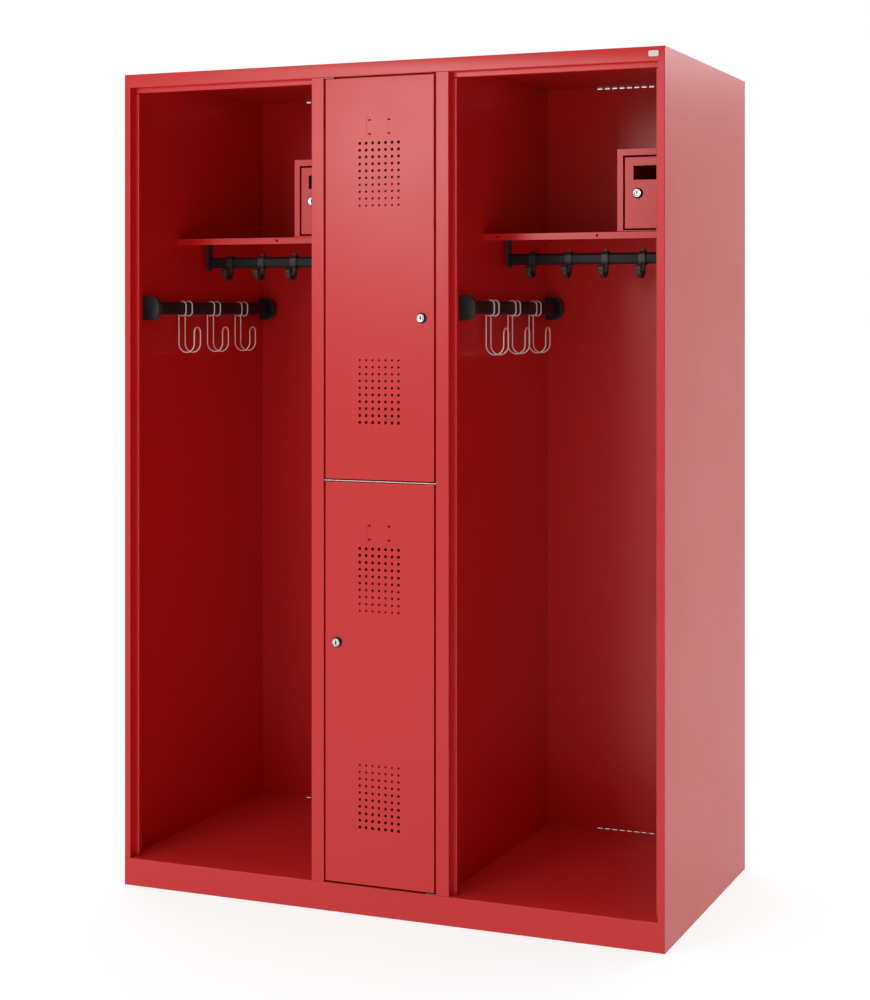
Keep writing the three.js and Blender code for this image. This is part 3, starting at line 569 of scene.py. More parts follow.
def loft(bm: bmesh.types.BMesh, axis: Axis, stations: Sequence[tuple[Outline, float]],
         ring: bool = False) -> None:
    """Skins outlines of one length into a closed shell.

    Args:
        bm: Mesh to add to.
        axis: Direction that the outlines are drawn along.
        stations: Each outline and its place along the axis.
        ring: Joins the last outline to the first instead of capping both.
    """
    loops = [[bm.verts.new(axis.place(a, b, along)) for a, b in outline] for outline, along in stations]
    pairs = list(zip(loops, loops[1:]))
    if ring:
        pairs.append((loops[-1], loops[0]))
    for low, high in pairs:
        for i in range(len(low)):
            j = (i + 1) % len(low)
            bm.faces.new((low[i], low[j], high[j], high[i]))
    if not ring:
        bm.faces.new(loops[0])
        bm.faces.new(loops[-1])


def tube(bm: bmesh.types.BMesh, axis: Axis, centre: Point, size: Point, wall: float,
         start: float, end: float) -> None:
    """Adds an oval tube with softly broken ends.

    Args:
        bm: Mesh to add to.
        axis: Direction of the tube.
        centre: Middle of its section.
        size: Outer width and height.
        wall: Wall thickness.
        start: First end along the axis.
        end: Other end along the axis.
    """
    soft = 0.3 * MM
    thin = (size[0] - 2 * wall, size[1] - 2 * wall)
    cut = (size[0] - 2 * soft, size[1] - 2 * soft)
    loft(bm, axis, [(oval(centre, *cut), start), (oval(centre, *size), start + soft),
                    (oval(centre, *size), end - soft), (oval(centre, *cut), end),
                    (oval(centre, *thin), end), (oval(centre, *thin), start)], True)


def to_object(bm: bmesh.types.BMesh, name: str) -> bpy.types.Object:
    """Turns finished mesh work into an object at the origin.

    Args:
        bm: Mesh work, which is freed.
        name: Name of the piece.

    Returns:
        The new object.
    """
    bmesh.ops.recalc_face_normals(bm, faces=bm.faces)
    mesh = bpy.data.meshes.new(name)
    bm.to_mesh(mesh)
    bm.free()
    piece = bpy.data.objects.new(name, mesh)
    bpy.context.scene.collection.objects.link(piece)
    return piece


def settle(piece: bpy.types.Object) -> None:
    """Applies every modifier on a piece into a plain mesh.

    Args:
        piece: Object whose modifiers are live.
    """
    evaluated = piece.evaluated_get(bpy.context.evaluated_depsgraph_get())
    mesh = bpy.data.meshes.new_from_object(evaluated)
    mesh.name = piece.name
    piece.modifiers.clear()
    piece.data = mesh


def smooth(piece: bpy.types.Object, angle: float = 34.0) -> None:
    """Shades folds and rounds smoothly while flat faces stay flat.

    Args:
        piece: Object to shade.
        angle: Sharpest turn that is still shaded smoothly, in degrees.
    """
    mesh = piece.data
    mesh.shade_smooth()
    nearest = math.cos(math.radians(angle))
    around = [[] for _ in mesh.vertices]
    for face in mesh.polygons:
        weight = (face.area / MM ** 2) ** 2
        for corner in face.vertices:
            around[corner].append((face.normal.copy(), weight))
    normals = []
    for face in mesh.polygons:
        for corner in face.vertices:
            total = Vector()
            for normal, weight in around[corner]:
                if normal.dot(face.normal) > nearest:
                    total += weight * normal
            normals.append(total.normalized())
    mesh.normals_split_custom_set(normals)


@dataclass
class Bench:
    """Where finished pieces get their finish, their body and the CAD nodes they stand for."""

    materials: dict[Slot, bpy.types.Material]
    bodies: dict[str, str]
    count: int = 0

    def hand_over(self, piece: bpy.types.Object, slot: Slot, body: str, nodes: Iterable[str] = ()) -> None:
        """Finishes one piece.

        Args:
            piece: Object with a plain mesh.
            slot: Finish that it takes.
            body: Body that it moves with.
            nodes: CAD nodes that it replaces.
        """
        piece.data.materials.clear()
        piece.data.materials.append(self.materials[slot])
        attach(piece, body)
        names = list(nodes)
        if names:
            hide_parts(*names)
        self.count += 1
        log.info("%s: %s on %s, %d faces", piece.name, slot.value, body, len(piece.data.polygons))

    def body_of(self, node: str) -> str:
        """Body that holds a CAD node."""
        return self.bodies[node]


# ---- Folded sheet --------------------------------------------------------------------------------


@dataclass(frozen=True)
class SheetFolder:
    """Makes a sheet or plate from its CAD node, with round folds and broken sheet edges."""

    bend: float = 1.5 * MM
    edge: float = 0.22 * MM
    sharpest: float = math.radians(60)

    def _width(self, face: bmesh.types.BMFace) -> float:
        """Rough width of a long face."""
        return 2 * face.calc_area() / max(face.calc_perimeter(), 1e-9)

    def _bevel(self, bm: bmesh.types.BMesh, edges: list[bmesh.types.BMEdge], size: float, steps: int) -> None:
        """Rounds edges and marks the new faces as folds."""
        if not edges:
            return
        mark = bm.faces.layers.float["fold"]
        made = bmesh.ops.bevel(bm, geom=edges, offset=size, offset_type="OFFSET", segments=steps,
                               profile=0.5, affect="EDGES", clamp_overlap=True)
        for face in made["faces"]:
            face[mark] = 1.0

    def _sharp(self, bm: bmesh.types.BMesh, thin: bool) -> list[bmesh.types.BMEdge]:
        """Sharp outer edges: of sheet rims when thin is true, else of folds."""
        limit = 1.25 * SHEET
        found = []
        for edge in bm.edges:
            if len(edge.link_faces) != 2 or not edge.is_convex or edge.calc_face_angle(0.0) < self.sharpest:
                continue
            widths = [self._width(face) for face in edge.link_faces]
            if (min(widths) < limit) == thin and max(widths) > limit:
                found.append(edge)
        return found

    def fold(self, node: str, name: str) -> bpy.types.Object:
        """Copies a node and rounds it.

        Args:
            node: CAD node to start from.
            name: Name of the new piece.

        Returns:
            The piece, with a plain mesh.
        """
        bm = bmesh.new()
        bm.from_mesh(bpy.data.objects[node].data)
        bmesh.ops.remove_doubles(bm, verts=bm.verts, dist=2e-5)
        bmesh.ops.dissolve_limit(bm, angle_limit=math.radians(1.0), use_dissolve_boundaries=False,
                                 verts=bm.verts, edges=bm.edges)
        bm.faces.layers.float.new("fold")
        bm.normal_update()
        self._bevel(bm, self._sharp(bm, False), self.bend, 3)
        bm.normal_update()
        self._bevel(bm, self._sharp(bm, True), self.edge, 1)
        return to_object(bm, name)


# ---- Geometry Nodes tools ------------------------------------------------------------------------


class NodesTool(TreeWriter):
    """Geometry Nodes tree with named inputs, whose result is kept as a plain mesh."""

    def __init__(self, name: str, sockets: Sequence[tuple[str, str]]) -> None:
        """Opens the tree.

        Args:
            name: Name of the tool.
            sockets: Name and kind of each input.
        """
        super().__init__(bpy.data.node_groups.new(name, "GeometryNodeTree"))
        self.keys: dict[str, str] = {}
        for label, kind in sockets:
            self.keys[label] = self.tree.interface.new_socket(
                name=label, in_out="INPUT", socket_type=f"NodeSocket{kind}").identifier
        self.tree.interface.new_socket(name="Result", in_out="OUTPUT", socket_type="NodeSocketGeometry")
        self.entry = self.add("NodeGroupInput", "Named sizes", (-1100, 0)).outputs

    def leave(self, geometry: Socket, left: float) -> None:
        """Ends the tree with a plain mesh that has its finish."""
        plain = self.add("GeometryNodeRealizeInstances", "Plain mesh", (left, 50), {"Geometry": geometry})
        paint = self.add("GeometryNodeSetMaterial", "Finish of the piece", (left + 200, 50),
                         {"Geometry": plain.outputs["Geometry"], "Material": self.entry["Finish"]})
        self.add("NodeGroupOutput", "Finished piece", (left + 400, 50), {0: paint.outputs["Geometry"]})

    def difference(self, label: str, place: Point, body: Socket, taken: Socket) -> Socket:
        """Adds a cut of one mesh from another."""
        return self.add("GeometryNodeMeshBoolean", label, place, {"Mesh 1": body, "Mesh 2": taken},
                        operation="DIFFERENCE", solver="MANIFOLD").outputs["Mesh"]

    def run(self, piece: bpy.types.Object, values: dict) -> None:
        """Runs the tree on a piece.

        Args:
            piece: Object whose mesh goes in and is replaced.
            values: Value of each input, by its name.
        """
        modifier = piece.modifiers.new(self.tree.name, "NODES")
        modifier.node_group = self.tree
        for name, value in values.items():
            modifier[self.keys[name]] = value
        settle(piece)

    def run_on_points(self, name: str, points: Sequence[Vector], joined: bool,
                      values: dict) -> bpy.types.Object:
        """Runs the tree on new points.

        Args:
            name: Name of the new piece.
            points: Points of the mesh that goes in.
            joined: Whether an edge joins each point to the next.
            values: Value of each input, by its name.

        Returns:
            The new piece, with a plain mesh.
        """
        mesh = bpy.data.meshes.new(name)
        edges = [(i, i + 1) for i in range(len(points) - 1)] if joined else []
        mesh.from_pydata([tuple(point) for point in points], edges, [])
        piece = bpy.data.objects.new(name, mesh)
        bpy.context.scene.collection.objects.link(piece)
        self.run(piece, values)
        return piece


@dataclass(frozen=True)
class Punching:
    """A grid of equal or graded cuts in a sheet."""

    centre: tuple[float, float, float]
    low: Point
    high: Point
    depth: float
    columns: int = 1
    rows: int = 1
    pitch: Point = (0.0, 0.0)
    facing: Facing = Facing.FRONT
    round: bool = True
    sides: int = 14


class PunchPress(NodesTool):
    """Cuts a grid of round or square holes from a closed mesh."""

    def __init__(self) -> None:
        """Builds the tree once."""
        super().__init__("punch press", (
            ("Sheet", "Geometry"), ("Columns", "Int"), ("Rows", "Int"), ("Width of grid", "Float"),
            ("Height of grid", "Float"), ("Size at low row", "Vector"), ("Size at high row", "Vector"),
            ("Round", "Bool"), ("Sides", "Int"), ("Centre", "Vector"), ("Turn", "Rotation"),
            ("Finish", "Material")))
        entry = self.entry
        grid = self.add("GeometryNodeMeshGrid", "Middle of each hole", (-800, 300), {
            "Vertices X": entry["Columns"], "Vertices Y": entry["Rows"],
            "Size X": entry["Width of grid"], "Size Y": entry["Height of grid"]})
        place = self.add("GeometryNodeInputPosition", "Place in the grid", (-1100, -400))
        across = self.split("Row height", (-900, -400), place.outputs["Position"])["Y"]
        upper = self.maths("MULTIPLY", "High row", (-900, -600), entry["Height of grid"], 0.5)
        lower = self.maths("MULTIPLY", "Low row", (-900, -800), entry["Height of grid"], -0.5)
        share = self.spread("Share of the way up", (-650, -450), across, (lower, upper), (0.0, 1.0))
        size = self.add("ShaderNodeMix", "Size of each hole", (-400, -300), {
            0: share, 4: entry["Size at low row"], 5: entry["Size at high row"]}, data_type="VECTOR")
        drill = self.add("GeometryNodeMeshCylinder", "Round punch", (-800, 60), {
            "Vertices": entry["Sides"], "Radius": 1.0, "Depth": 1.0})
        chisel = self.add("GeometryNodeMeshCube", "Square punch", (-800, -150), {"Size": (2.0, 2.0, 1.0)})
        choice = self.add("GeometryNodeSwitch", "Which punch", (-550, 0), {
            "Switch": entry["Round"], "False": chisel.outputs["Mesh"], "True": drill.outputs["Mesh"]},
            input_type="GEOMETRY")
        strike = self.add("GeometryNodeInstanceOnPoints", "Punch at each place", (-250, 200), {
            "Points": grid.outputs["Mesh"], "Instance": choice.outputs["Output"], "Scale": size.outputs[1]})
        move = self.add("GeometryNodeTransform", "Onto the sheet", (0, 200), {
            "Geometry": strike.outputs["Instances"], "Translation": entry["Centre"],
            "Rotation": entry["Turn"]})
        real = self.add("GeometryNodeRealizeInstances", "Real punches", (200, 200),
                        {"Geometry": move.outputs["Geometry"]})
        cut = self.difference("Cut the sheet", (400, 100), entry["Sheet"], real.outputs["Geometry"])
        self.leave(cut, 600)

    def cut(self, piece: bpy.types.Object, punching: Punching, finish: bpy.types.Material) -> None:
        """Cuts one grid from a piece.

        Args:
            piece: Closed mesh to cut.
            punching: The grid.
            finish: Material of the sheet.
        """
        self.run(piece, {
            "Columns": punching.columns,
            "Rows": punching.rows,
            "Width of grid": (punching.columns - 1) * punching.pitch[0],
            "Height of grid": (punching.rows - 1) * punching.pitch[1],
            "Size at low row": (*punching.low, punching.depth),
            "Size at high row": (*punching.high, punching.depth),
            "Round": punching.round,
            "Sides": punching.sides,
            "Centre": punching.centre,
            "Turn": punching.facing.value,
            "Finish": finish,
        })


class WireBender(NodesTool):
    """Sweeps a round wire along a bent line of points."""

    def __init__(self) -> None:
        """Builds the tree once."""
        super().__init__("wire bender", (
            ("Line", "Geometry"), ("Wire radius", "Float"), ("Sides", "Int"), ("Finish", "Material")))
        line = self.add("GeometryNodeMeshToCurve", "Line as a curve", (-450, 100),
                        {"Mesh": self.entry["Line"]})
        section = self.add("GeometryNodeCurvePrimitiveCircle", "Round section", (-450, -100), {
            "Radius": self.entry["Wire radius"], "Resolution": self.entry["Sides"]})
        sweep = self.add("GeometryNodeCurveToMesh", "Drawn wire", (-200, 50), {
            "Curve": line.outputs["Curve"], "Profile Curve": section.outputs["Curve"], "Fill Caps": True})
        self.leave(sweep.outputs["Mesh"], 0)

    def bend(self, name: str, line: Sequence[Vector], radius: float, sides: int,
             finish: bpy.types.Material) -> bpy.types.Object:
        """Bends one wire.

        Args:
            name: Name of the piece.
            line: Points along the middle of the wire.
            radius: Half the gauge.
            sides: Faces round the wire.
            finish: Material of the wire.

        Returns:
            The wire, with a plain mesh.
        """
        piece = self.run_on_points(name, line, True, {
            "Wire radius": radius, "Sides": sides, "Finish": finish})
        bm = bmesh.new()
        bm.from_mesh(piece.data)
        bmesh.ops.recalc_face_normals(bm, faces=bm.faces)
        bm.to_mesh(piece.data)
        bm.free()
        return piece


class FixingSetter(NodesTool):
    """Sets a chamfered round head with a hexagon socket at each point of a mesh."""

    def __init__(self) -> None:
        """Builds the tree once."""
        super().__init__("fixing setter", (
            ("Places", "Geometry"), ("Head radius", "Float"), ("Head height", "Float"),
            ("Turn", "Rotation"), ("Finish", "Material")))
        radius, height = self.entry["Head radius"], self.entry["Head height"]
        crown = self.maths("MULTIPLY", "Radius of the crown", (-650, -150), radius, 0.62)
        head = self.add("GeometryNodeMeshCone", "Chamfered head", (-450, -50), {
            "Vertices": 18, "Radius Top": crown, "Radius Bottom": radius, "Depth": height})
        bore = self.maths("MULTIPLY", "Radius of the socket", (-650, -350), radius, 0.36)
        drive = self.add("GeometryNodeMeshCylinder", "Drive socket", (-450, -350), {
            "Vertices": 6, "Radius": bore, "Depth": height})
        rise = self.add("ShaderNodeCombineXYZ", "Up by the head", (-450, -600), {"Z": height})
        lift = self.add("GeometryNodeTransform", "Socket from the crown down", (-320, -350), {
            "Geometry": drive.outputs["Mesh"], "Translation": rise.outputs["Vector"]})
        cut = self.difference("Socketed head", (-200, -150), head.outputs["Mesh"], lift.outputs["Geometry"])
        strike = self.add("GeometryNodeInstanceOnPoints", "Head at each place", (0, 50), {
            "Points": self.entry["Places"], "Instance": cut, "Rotation": self.entry["Turn"]})
        self.leave(strike.outputs["Instances"], 200)

    def set_heads(self, name: str, places: Sequence[Vector], radius: float, height: float,
                  finish: bpy.types.Material) -> bpy.types.Object:
        """Sets upright heads at given places.

        Args:
            name: Name of the piece.
            places: Foot of each head.
            radius: Radius of a head.
            height: Height of a head.
            finish: Material of the heads.

        Returns:
            All the heads as one plain mesh.
        """
        piece = self.run_on_points(name, places, False, {
            "Head radius": radius, "Head height": height, "Turn": (0.0, 0.0, 0.0), "Finish": finish})
        smooth(piece)
        return piece


@dataclass
class Tools:
    """The bench and every tool that a sub-assembly needs."""

    bench: Bench
    folder: SheetFolder
    press: PunchPress
    bender: WireBender
    setter: FixingSetter

    def material(self, slot: Slot) -> bpy.types.Material:
        """Material of a slot."""
        return self.bench.materials[slot]

    def give(self, piece: bpy.types.Object, slot: Slot, node: str) -> None:
        """Hands over a piece that stands for one CAD node."""
        self.bench.hand_over(piece, slot, self.bench.body_of(node), [node])


# ---- Carcass -------------------------------------------------------------------------------------


@dataclass
class Carcass:
    """Walls, roof, floor, back, frame posts, plinth and centre shelf."""

    sheets: tuple[str, ...] = (
        "left_side_panel", "right_side_panel", "top_panel", "back_panel", "plinth", "floor_panel",
        "left_divider", "right_divider", "left_post", "right_post", "centre_shelf")
    weld_radius: float = 2.6 * MM
    weld_depth: float = 0.3 * MM
    weld_count: int = 22
    weld_inset: float = 7.5 * MM
    weld_margin: float = 90 * MM

    def build(self, tools: Tools) -> None:
        """Builds and dresses every sheet, the middle bar and the badge.

        Args:
            tools: Bench and tools.
        """
        for node in self.sheets:
            piece = tools.folder.fold(node, f"{node}_folded")
            if node.endswith("side_panel"):
                self._weld_marks(tools, piece, node)
            smooth(piece)
            tools.give(piece, Slot.RED_PAINT, node)
        plate = SheetFolder(bend=0.5 * MM, edge=0.2 * MM)
        for node, slot in (("middle_bar", Slot.BRIGHT_STEEL), ("badge_plate", Slot.BADGE)):
            piece = plate.fold(node, f"{node}_finished")
            smooth(piece)
            tools.give(piece, slot, node)

    def _weld_marks(self, tools: Tools, piece: bpy.types.Object, node: str) -> None:
        """Sinks a row of spot-weld marks in the rear flange of a side panel."""
        low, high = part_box(node)
        side = 1 if high.x > 0 else -1
        x = (high.x if side > 0 else low.x) - side * self.weld_inset
        mark = (self.weld_radius, self.weld_radius)
        pitch = (high.z - low.z - self.weld_margin) / (self.weld_count - 1)
        row = Punching((x, high.y, (low.z + high.z) / 2), mark, mark, 2 * self.weld_depth,
                       rows=self.weld_count, pitch=(0.0, pitch))
        tools.press.cut(piece, row, tools.material(Slot.RED_PAINT))


# ---- Doors ---------------------------------------------------------------------------------------


@dataclass
class VentilatedDoor:
    """Open-backed steel pan with two graded fields of holes, a label panel and a lock."""

    node: str
    bend: float = 1.5 * MM
    hole_columns: int = 7
    hole_rows: int = 10
    hole_pitch: Point = (15.6 * MM, 15.0 * MM)
    hole_large: float = 3.5 * MM
    hole_small: float = 2.4 * MM
    top_drop: float = 143 * MM
    bottom_rise: float = 124 * MM
    label_slot: Point = (6 * MM, 3.4 * MM)
    label_spacing: Point = (47 * MM, 30 * MM)
    label_panel: Point = (60 * MM, 42 * MM)
    label_depth: float = 0.7 * MM
    label_drop: float = 108 * MM
    hinge_inset: float = 6 * MM
    pivot_hole: float = 3.4 * MM
    barrel_hole: float = 8.3 * MM

    def build(self, tools: Tools) -> None:
        """Builds and dresses the pan.

        Args:
            tools: Bench and tools.
        """
        low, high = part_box(self.node)
        piece = self._pan(low, high)
        finish = tools.material(Slot.RED_PAINT)
        for punching in self._punchings(low, high):
            tools.press.cut(piece, punching, finish)
        smooth(piece)
        tools.give(piece, Slot.RED_PAINT, self.node)

    def _pan(self, low: Vector, high: Vector) -> bpy.types.Object:
        """Folds the pan: a box without a back, round folds, one sheet thick."""
        bm = bmesh.new()
        bmesh.ops.create_cube(bm, size=1.0)
        middle, size = (low + high) / 2, high - low
        placed = Matrix.Translation(middle) @ Matrix.Diagonal((*size, 1.0))
        bmesh.ops.transform(bm, matrix=placed, verts=bm.verts)
        mark = bm.faces.layers.float.new("fold")
        rear = [face for face in bm.faces if face.normal.y > 0.5]
        bmesh.ops.delete(bm, geom=rear, context="FACES_ONLY")
        folds = [edge for edge in bm.edges if len(edge.link_faces) == 2]
        made = bmesh.ops.bevel(bm, geom=folds, offset=self.bend, offset_type="OFFSET", segments=3,
                               profile=0.5, affect="EDGES")
        for face in made["faces"]:
            face[mark] = 1.0
        piece = to_object(bm, f"{self.node}_pan")
        wall = piece.modifiers.new("sheet", "SOLIDIFY")
        wall.thickness = SHEET
        wall.offset = -1.0
        wall.use_even_offset = True
        settle(piece)
        return piece

    def _punchings(self, low: Vector, high: Vector) -> list[Punching]:
        """Every grid of cuts in the door."""
        y = low.y
        field_height = (self.hole_rows - 1) * self.hole_pitch[1]
        large, small = (self.hole_large,) * 2, (self.hole_small,) * 2
        barrel, pivot = (self.barrel_hole,) * 2, (self.pivot_hole,) * 2
        through = 6 * SHEET
        grid = {"depth": through, "columns": self.hole_columns, "rows": self.hole_rows,
                "pitch": self.hole_pitch}
        case_low, case_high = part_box(f"{self.node}_lock_case")
        lock = (case_low + case_high) / 2
        hinge_x = math.copysign(high.x - self.hinge_inset, -lock.x)
        label_z = high.z - self.label_drop
        slot = (self.label_slot[0] / 2, self.label_slot[1] / 2)
        panel = (self.label_panel[0] / 2, self.label_panel[1] / 2)
        return [
            Punching((0.0, y, high.z - self.top_drop - field_height / 2), small, large, **grid),
            Punching((0.0, y, low.z + self.bottom_rise + field_height / 2), large, small, **grid),
            Punching((0.0, y, label_z), panel, panel, 2 * self.label_depth, round=False),
            Punching((0.0, y, label_z), slot, slot, through, 2, 2, self.label_spacing, round=False),
            Punching((lock.x, y, lock.z), barrel, barrel, through, sides=36),
            *(Punching((hinge_x, y + self.hinge_inset, z), pivot, pivot, 4 * SHEET,
                       facing=Facing.LEVEL, sides=24) for z in (low.z, high.z)),
        ]


@dataclass
class CylinderLock:
    """Cam lock: black bezel with a bright face, a turning plug with its key slot, and the cam."""

    case: str
    plug: str
    proud: float = 7 * MM
    bezel: float = 11.5 * MM
    nose_radius: float = 9.2 * MM
    face: float = 8.4 * MM
    barrel: float = 8 * MM
    bore: float = 6.9 * MM
    plug_radius: float = 6.5 * MM
    key: Point = (4.8 * MM, 9.4 * MM)
    key_depth: float = 11 * MM
    ward: float = 0.35 * MM
    ward_depth: float = 4.6 * MM
    nut: float = 11.5 * MM
    nut_thick: float = 2.5 * MM
    thread_pitch: float = 0.8 * MM
    thread_depth: float = 0.4 * MM
    cam_thick: float = 2 * MM
    cam_bevel: float = 0.3 * MM

    def build(self, tools: Tools) -> None:
        """Builds and dresses the lock.

        Args:
            tools: Bench and tools.
        """
        low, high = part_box(self.case)
        self.x, self.z = (low.x + high.x) / 2, (low.z + high.z) / 2
        self.nose, self.tail = low.y, high.y
        self.skin = self.nose + self.proud
        door, turning = tools.bench.body_of(self.case), tools.bench.body_of(self.plug)
        tools.bench.hand_over(self._bezel(), Slot.LOCK_BLACK, door, [self.case])
        tools.bench.hand_over(self._face(), Slot.LOCK_CHROME, door)
        tools.bench.hand_over(self._nut(), Slot.ZINC, door)
        tools.bench.hand_over(self._plug(tools), Slot.LOCK_CHROME, turning, [self.plug])
        # The keyway's wards are black as painted shade inside the key slot.
        tools.bench.hand_over(self._keyway(), Slot.LOCK_BLACK, turning)
        tools.bench.hand_over(self._cam(), Slot.ZINC, turning)

    def _turned(self, name: str, profile: Sequence[Point], ring: bool) -> bpy.types.Object:
        """Turns a profile of radius and depth about the lock's axis."""
        bm = bmesh.new()
        loft(bm, Axis.Y, [(circle((self.x, self.z), radius), y) for radius, y in profile], ring)
        piece = to_object(bm, name)
        smooth(piece, 50)
        return piece

    def _bezel(self) -> bpy.types.Object:
        """Black rim and threaded barrel."""
        n, s, t = self.nose, self.skin - 0.3 * MM, self.tail
        inner, rim = self.face + 0.1 * MM, self.nose_radius
        profile = [
            (inner, n + 1.1 * MM), (inner, n + 0.3 * MM), (inner + 0.2 * MM, n + 0.05 * MM),
            (rim - 0.3 * MM, n), (rim, n + 0.25 * MM), (rim + 0.3 * MM, n + 0.9 * MM),
            (self.bezel - 0.15 * MM, s - 0.8 * MM), (self.bezel - 0.05 * MM, s - 0.3 * MM),
            (self.bezel - 0.3 * MM, s), (self.barrel, s)]
        y = self.skin + 1.8 * MM
        while y < t - 1.2 * MM:
            profile += [(self.barrel - self.thread_depth, y), (self.barrel, y + self.thread_pitch / 2)]
            y += self.thread_pitch
        profile += [(self.barrel - 0.3 * MM, t), (self.bore, t), (self.bore, n + 1.1 * MM)]
        return self._turned(f"{self.case}_bezel", profile, True)

    def _face(self) -> bpy.types.Object:
        """Bright ring set in the bezel."""
        n, r = self.nose, self.face
        profile = [(self.bore, n + 1.05 * MM), (self.bore, n + 0.45 * MM),
                   (self.bore + 0.25 * MM, n + 0.25 * MM), (r - 0.4 * MM, n + 0.1 * MM),
                   (r, n + 0.4 * MM), (r, n + 1.05 * MM)]
        return self._turned(f"{self.case}_face_ring", profile, True)

    def _nut(self) -> bpy.types.Object:
        """Hexagon nut that clamps the lock from behind the sheet."""
        y0 = self.skin + SHEET + 0.1 * MM
        y1 = y0 + self.nut_thick
        centre = (self.x, self.z)
        hexagon = circle(centre, self.nut, 6)
        outer, mouth = self._six(hexagon), self._six(circle(centre, self.barrel + 0.1 * MM, 6), True)
        small = self._six([(self.x + (a - self.x) * 0.95, self.z + (b - self.z) * 0.95) for a, b in hexagon])
        bm = bmesh.new()
        loft(bm, Axis.Y, [(mouth, y0), (outer, y0), (outer, y1 - 0.4 * MM), (small, y1), (mouth, y1)], True)
        piece = to_object(bm, f"{self.case}_nut")
        smooth(piece)
        return piece

    def _six(self, corners: Outline, rounded: bool = False) -> Outline:
        """Adds points along a hexagon's sides, pushed out to a circle when rounded."""
        points: Outline = []
        reach = math.dist(corners[0], (self.x, self.z))
        for i, (a, b) in enumerate(corners):
            c, d = corners[(i + 1) % len(corners)]
            for k in range(4):
                x, z = a + (c - a) * k / 4 - self.x, b + (d - b) * k / 4 - self.z
                grow = reach / math.hypot(x, z) if rounded else 1.0
                points.append((self.x + x * grow, self.z + z * grow))
        return points

    def _plug(self, tools: Tools) -> bpy.types.Object:
        """Turning plug with a slightly dished nose and the key slot."""
        n, r = self.nose, self.plug_radius
        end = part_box(self.plug)[1].y
        profile = [(3.4 * MM, n + 0.32 * MM), (5.2 * MM, n + 0.2 * MM), (r - 0.5 * MM, n),
                   (r, n + 0.45 * MM), (r, end - 0.1 * MM), (r - 0.2 * MM, end)]
        piece = self._turned(f"{self.plug}_core", profile, False)
        key = (self.key[0] / 2, self.key[1] / 2)
        tools.press.cut(piece, Punching((self.x, n, self.z), key, key, self.key_depth, sides=32),
                        tools.material(Slot.LOCK_CHROME))
        smooth(piece, 50)
        return piece

    def _keyway(self) -> bpy.types.Object:
        """Wards just inside the key slot, coloured black as painted shade in the slot."""
        bm = bmesh.new()
        w, h = self.key[0] / 2 - 0.05 * MM, self.key[1] / 2 - 0.05 * MM
        n, ward = self.nose + 0.55 * MM, self.ward
        outline = [
            (-w, -h), (w, -h), (w, -h * 0.3), (w - ward, -h * 0.3), (w - ward, h * 0.1), (w, h * 0.1),
            (w, h), (-w, h), (-w, h * 0.45), (-w + ward, h * 0.45), (-w + ward, h * 0.05), (-w, h * 0.05)]
        placed = [(self.x + a, self.z + b) for a, b in outline]
        loft(bm, Axis.Y, [(placed, n), (placed, n + self.ward_depth)])
        return to_object(bm, f"{self.plug}_keyway")

    def _cam(self) -> bpy.types.Object:
        """Flat cam with a round hub."""
        low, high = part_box(self.plug)
        hub = high.z - self.z
        y0, y1, soft = high.y - self.cam_thick, high.y, self.cam_bevel

        def blade(inset: float) -> Outline:
            """Cam outline: round hub, straight blade."""
            r, tip, cut = hub - inset, low.z + inset, 2 * MM
            return arc((self.x, self.z), r, 0, 180, 16) + [
                (self.x - r, tip + cut), (self.x - r + cut, tip),
                (self.x + r - cut, tip), (self.x + r, tip + cut)]

        bm = bmesh.new()
        loft(bm, Axis.Y, [
            (blade(soft), y0), (blade(0.0), y0 + soft), (blade(0.0), y1 - soft), (blade(soft), y1)])
        piece = to_object(bm, f"{self.plug}_cam")
        smooth(piece)
        return piece


# ---- Bays ----------------------------------------------------------------------------------------


@dataclass
class HatShelf:
    """Shelf with its small lockable box, from their folded sheets."""

    bay: str

    def build(self, tools: Tools) -> None:
        """Builds and dresses the shelf, the box and its door.

        Args:
            tools: Bench and tools.
        """
        for part in ("hat_shelf", "safe_box", "safe_door"):
            node = f"{self.bay}_{part}"
            piece = tools.folder.fold(node, f"{node}_folded")
            smooth(piece)
            tools.give(piece, Slot.RED_PAINT, node)


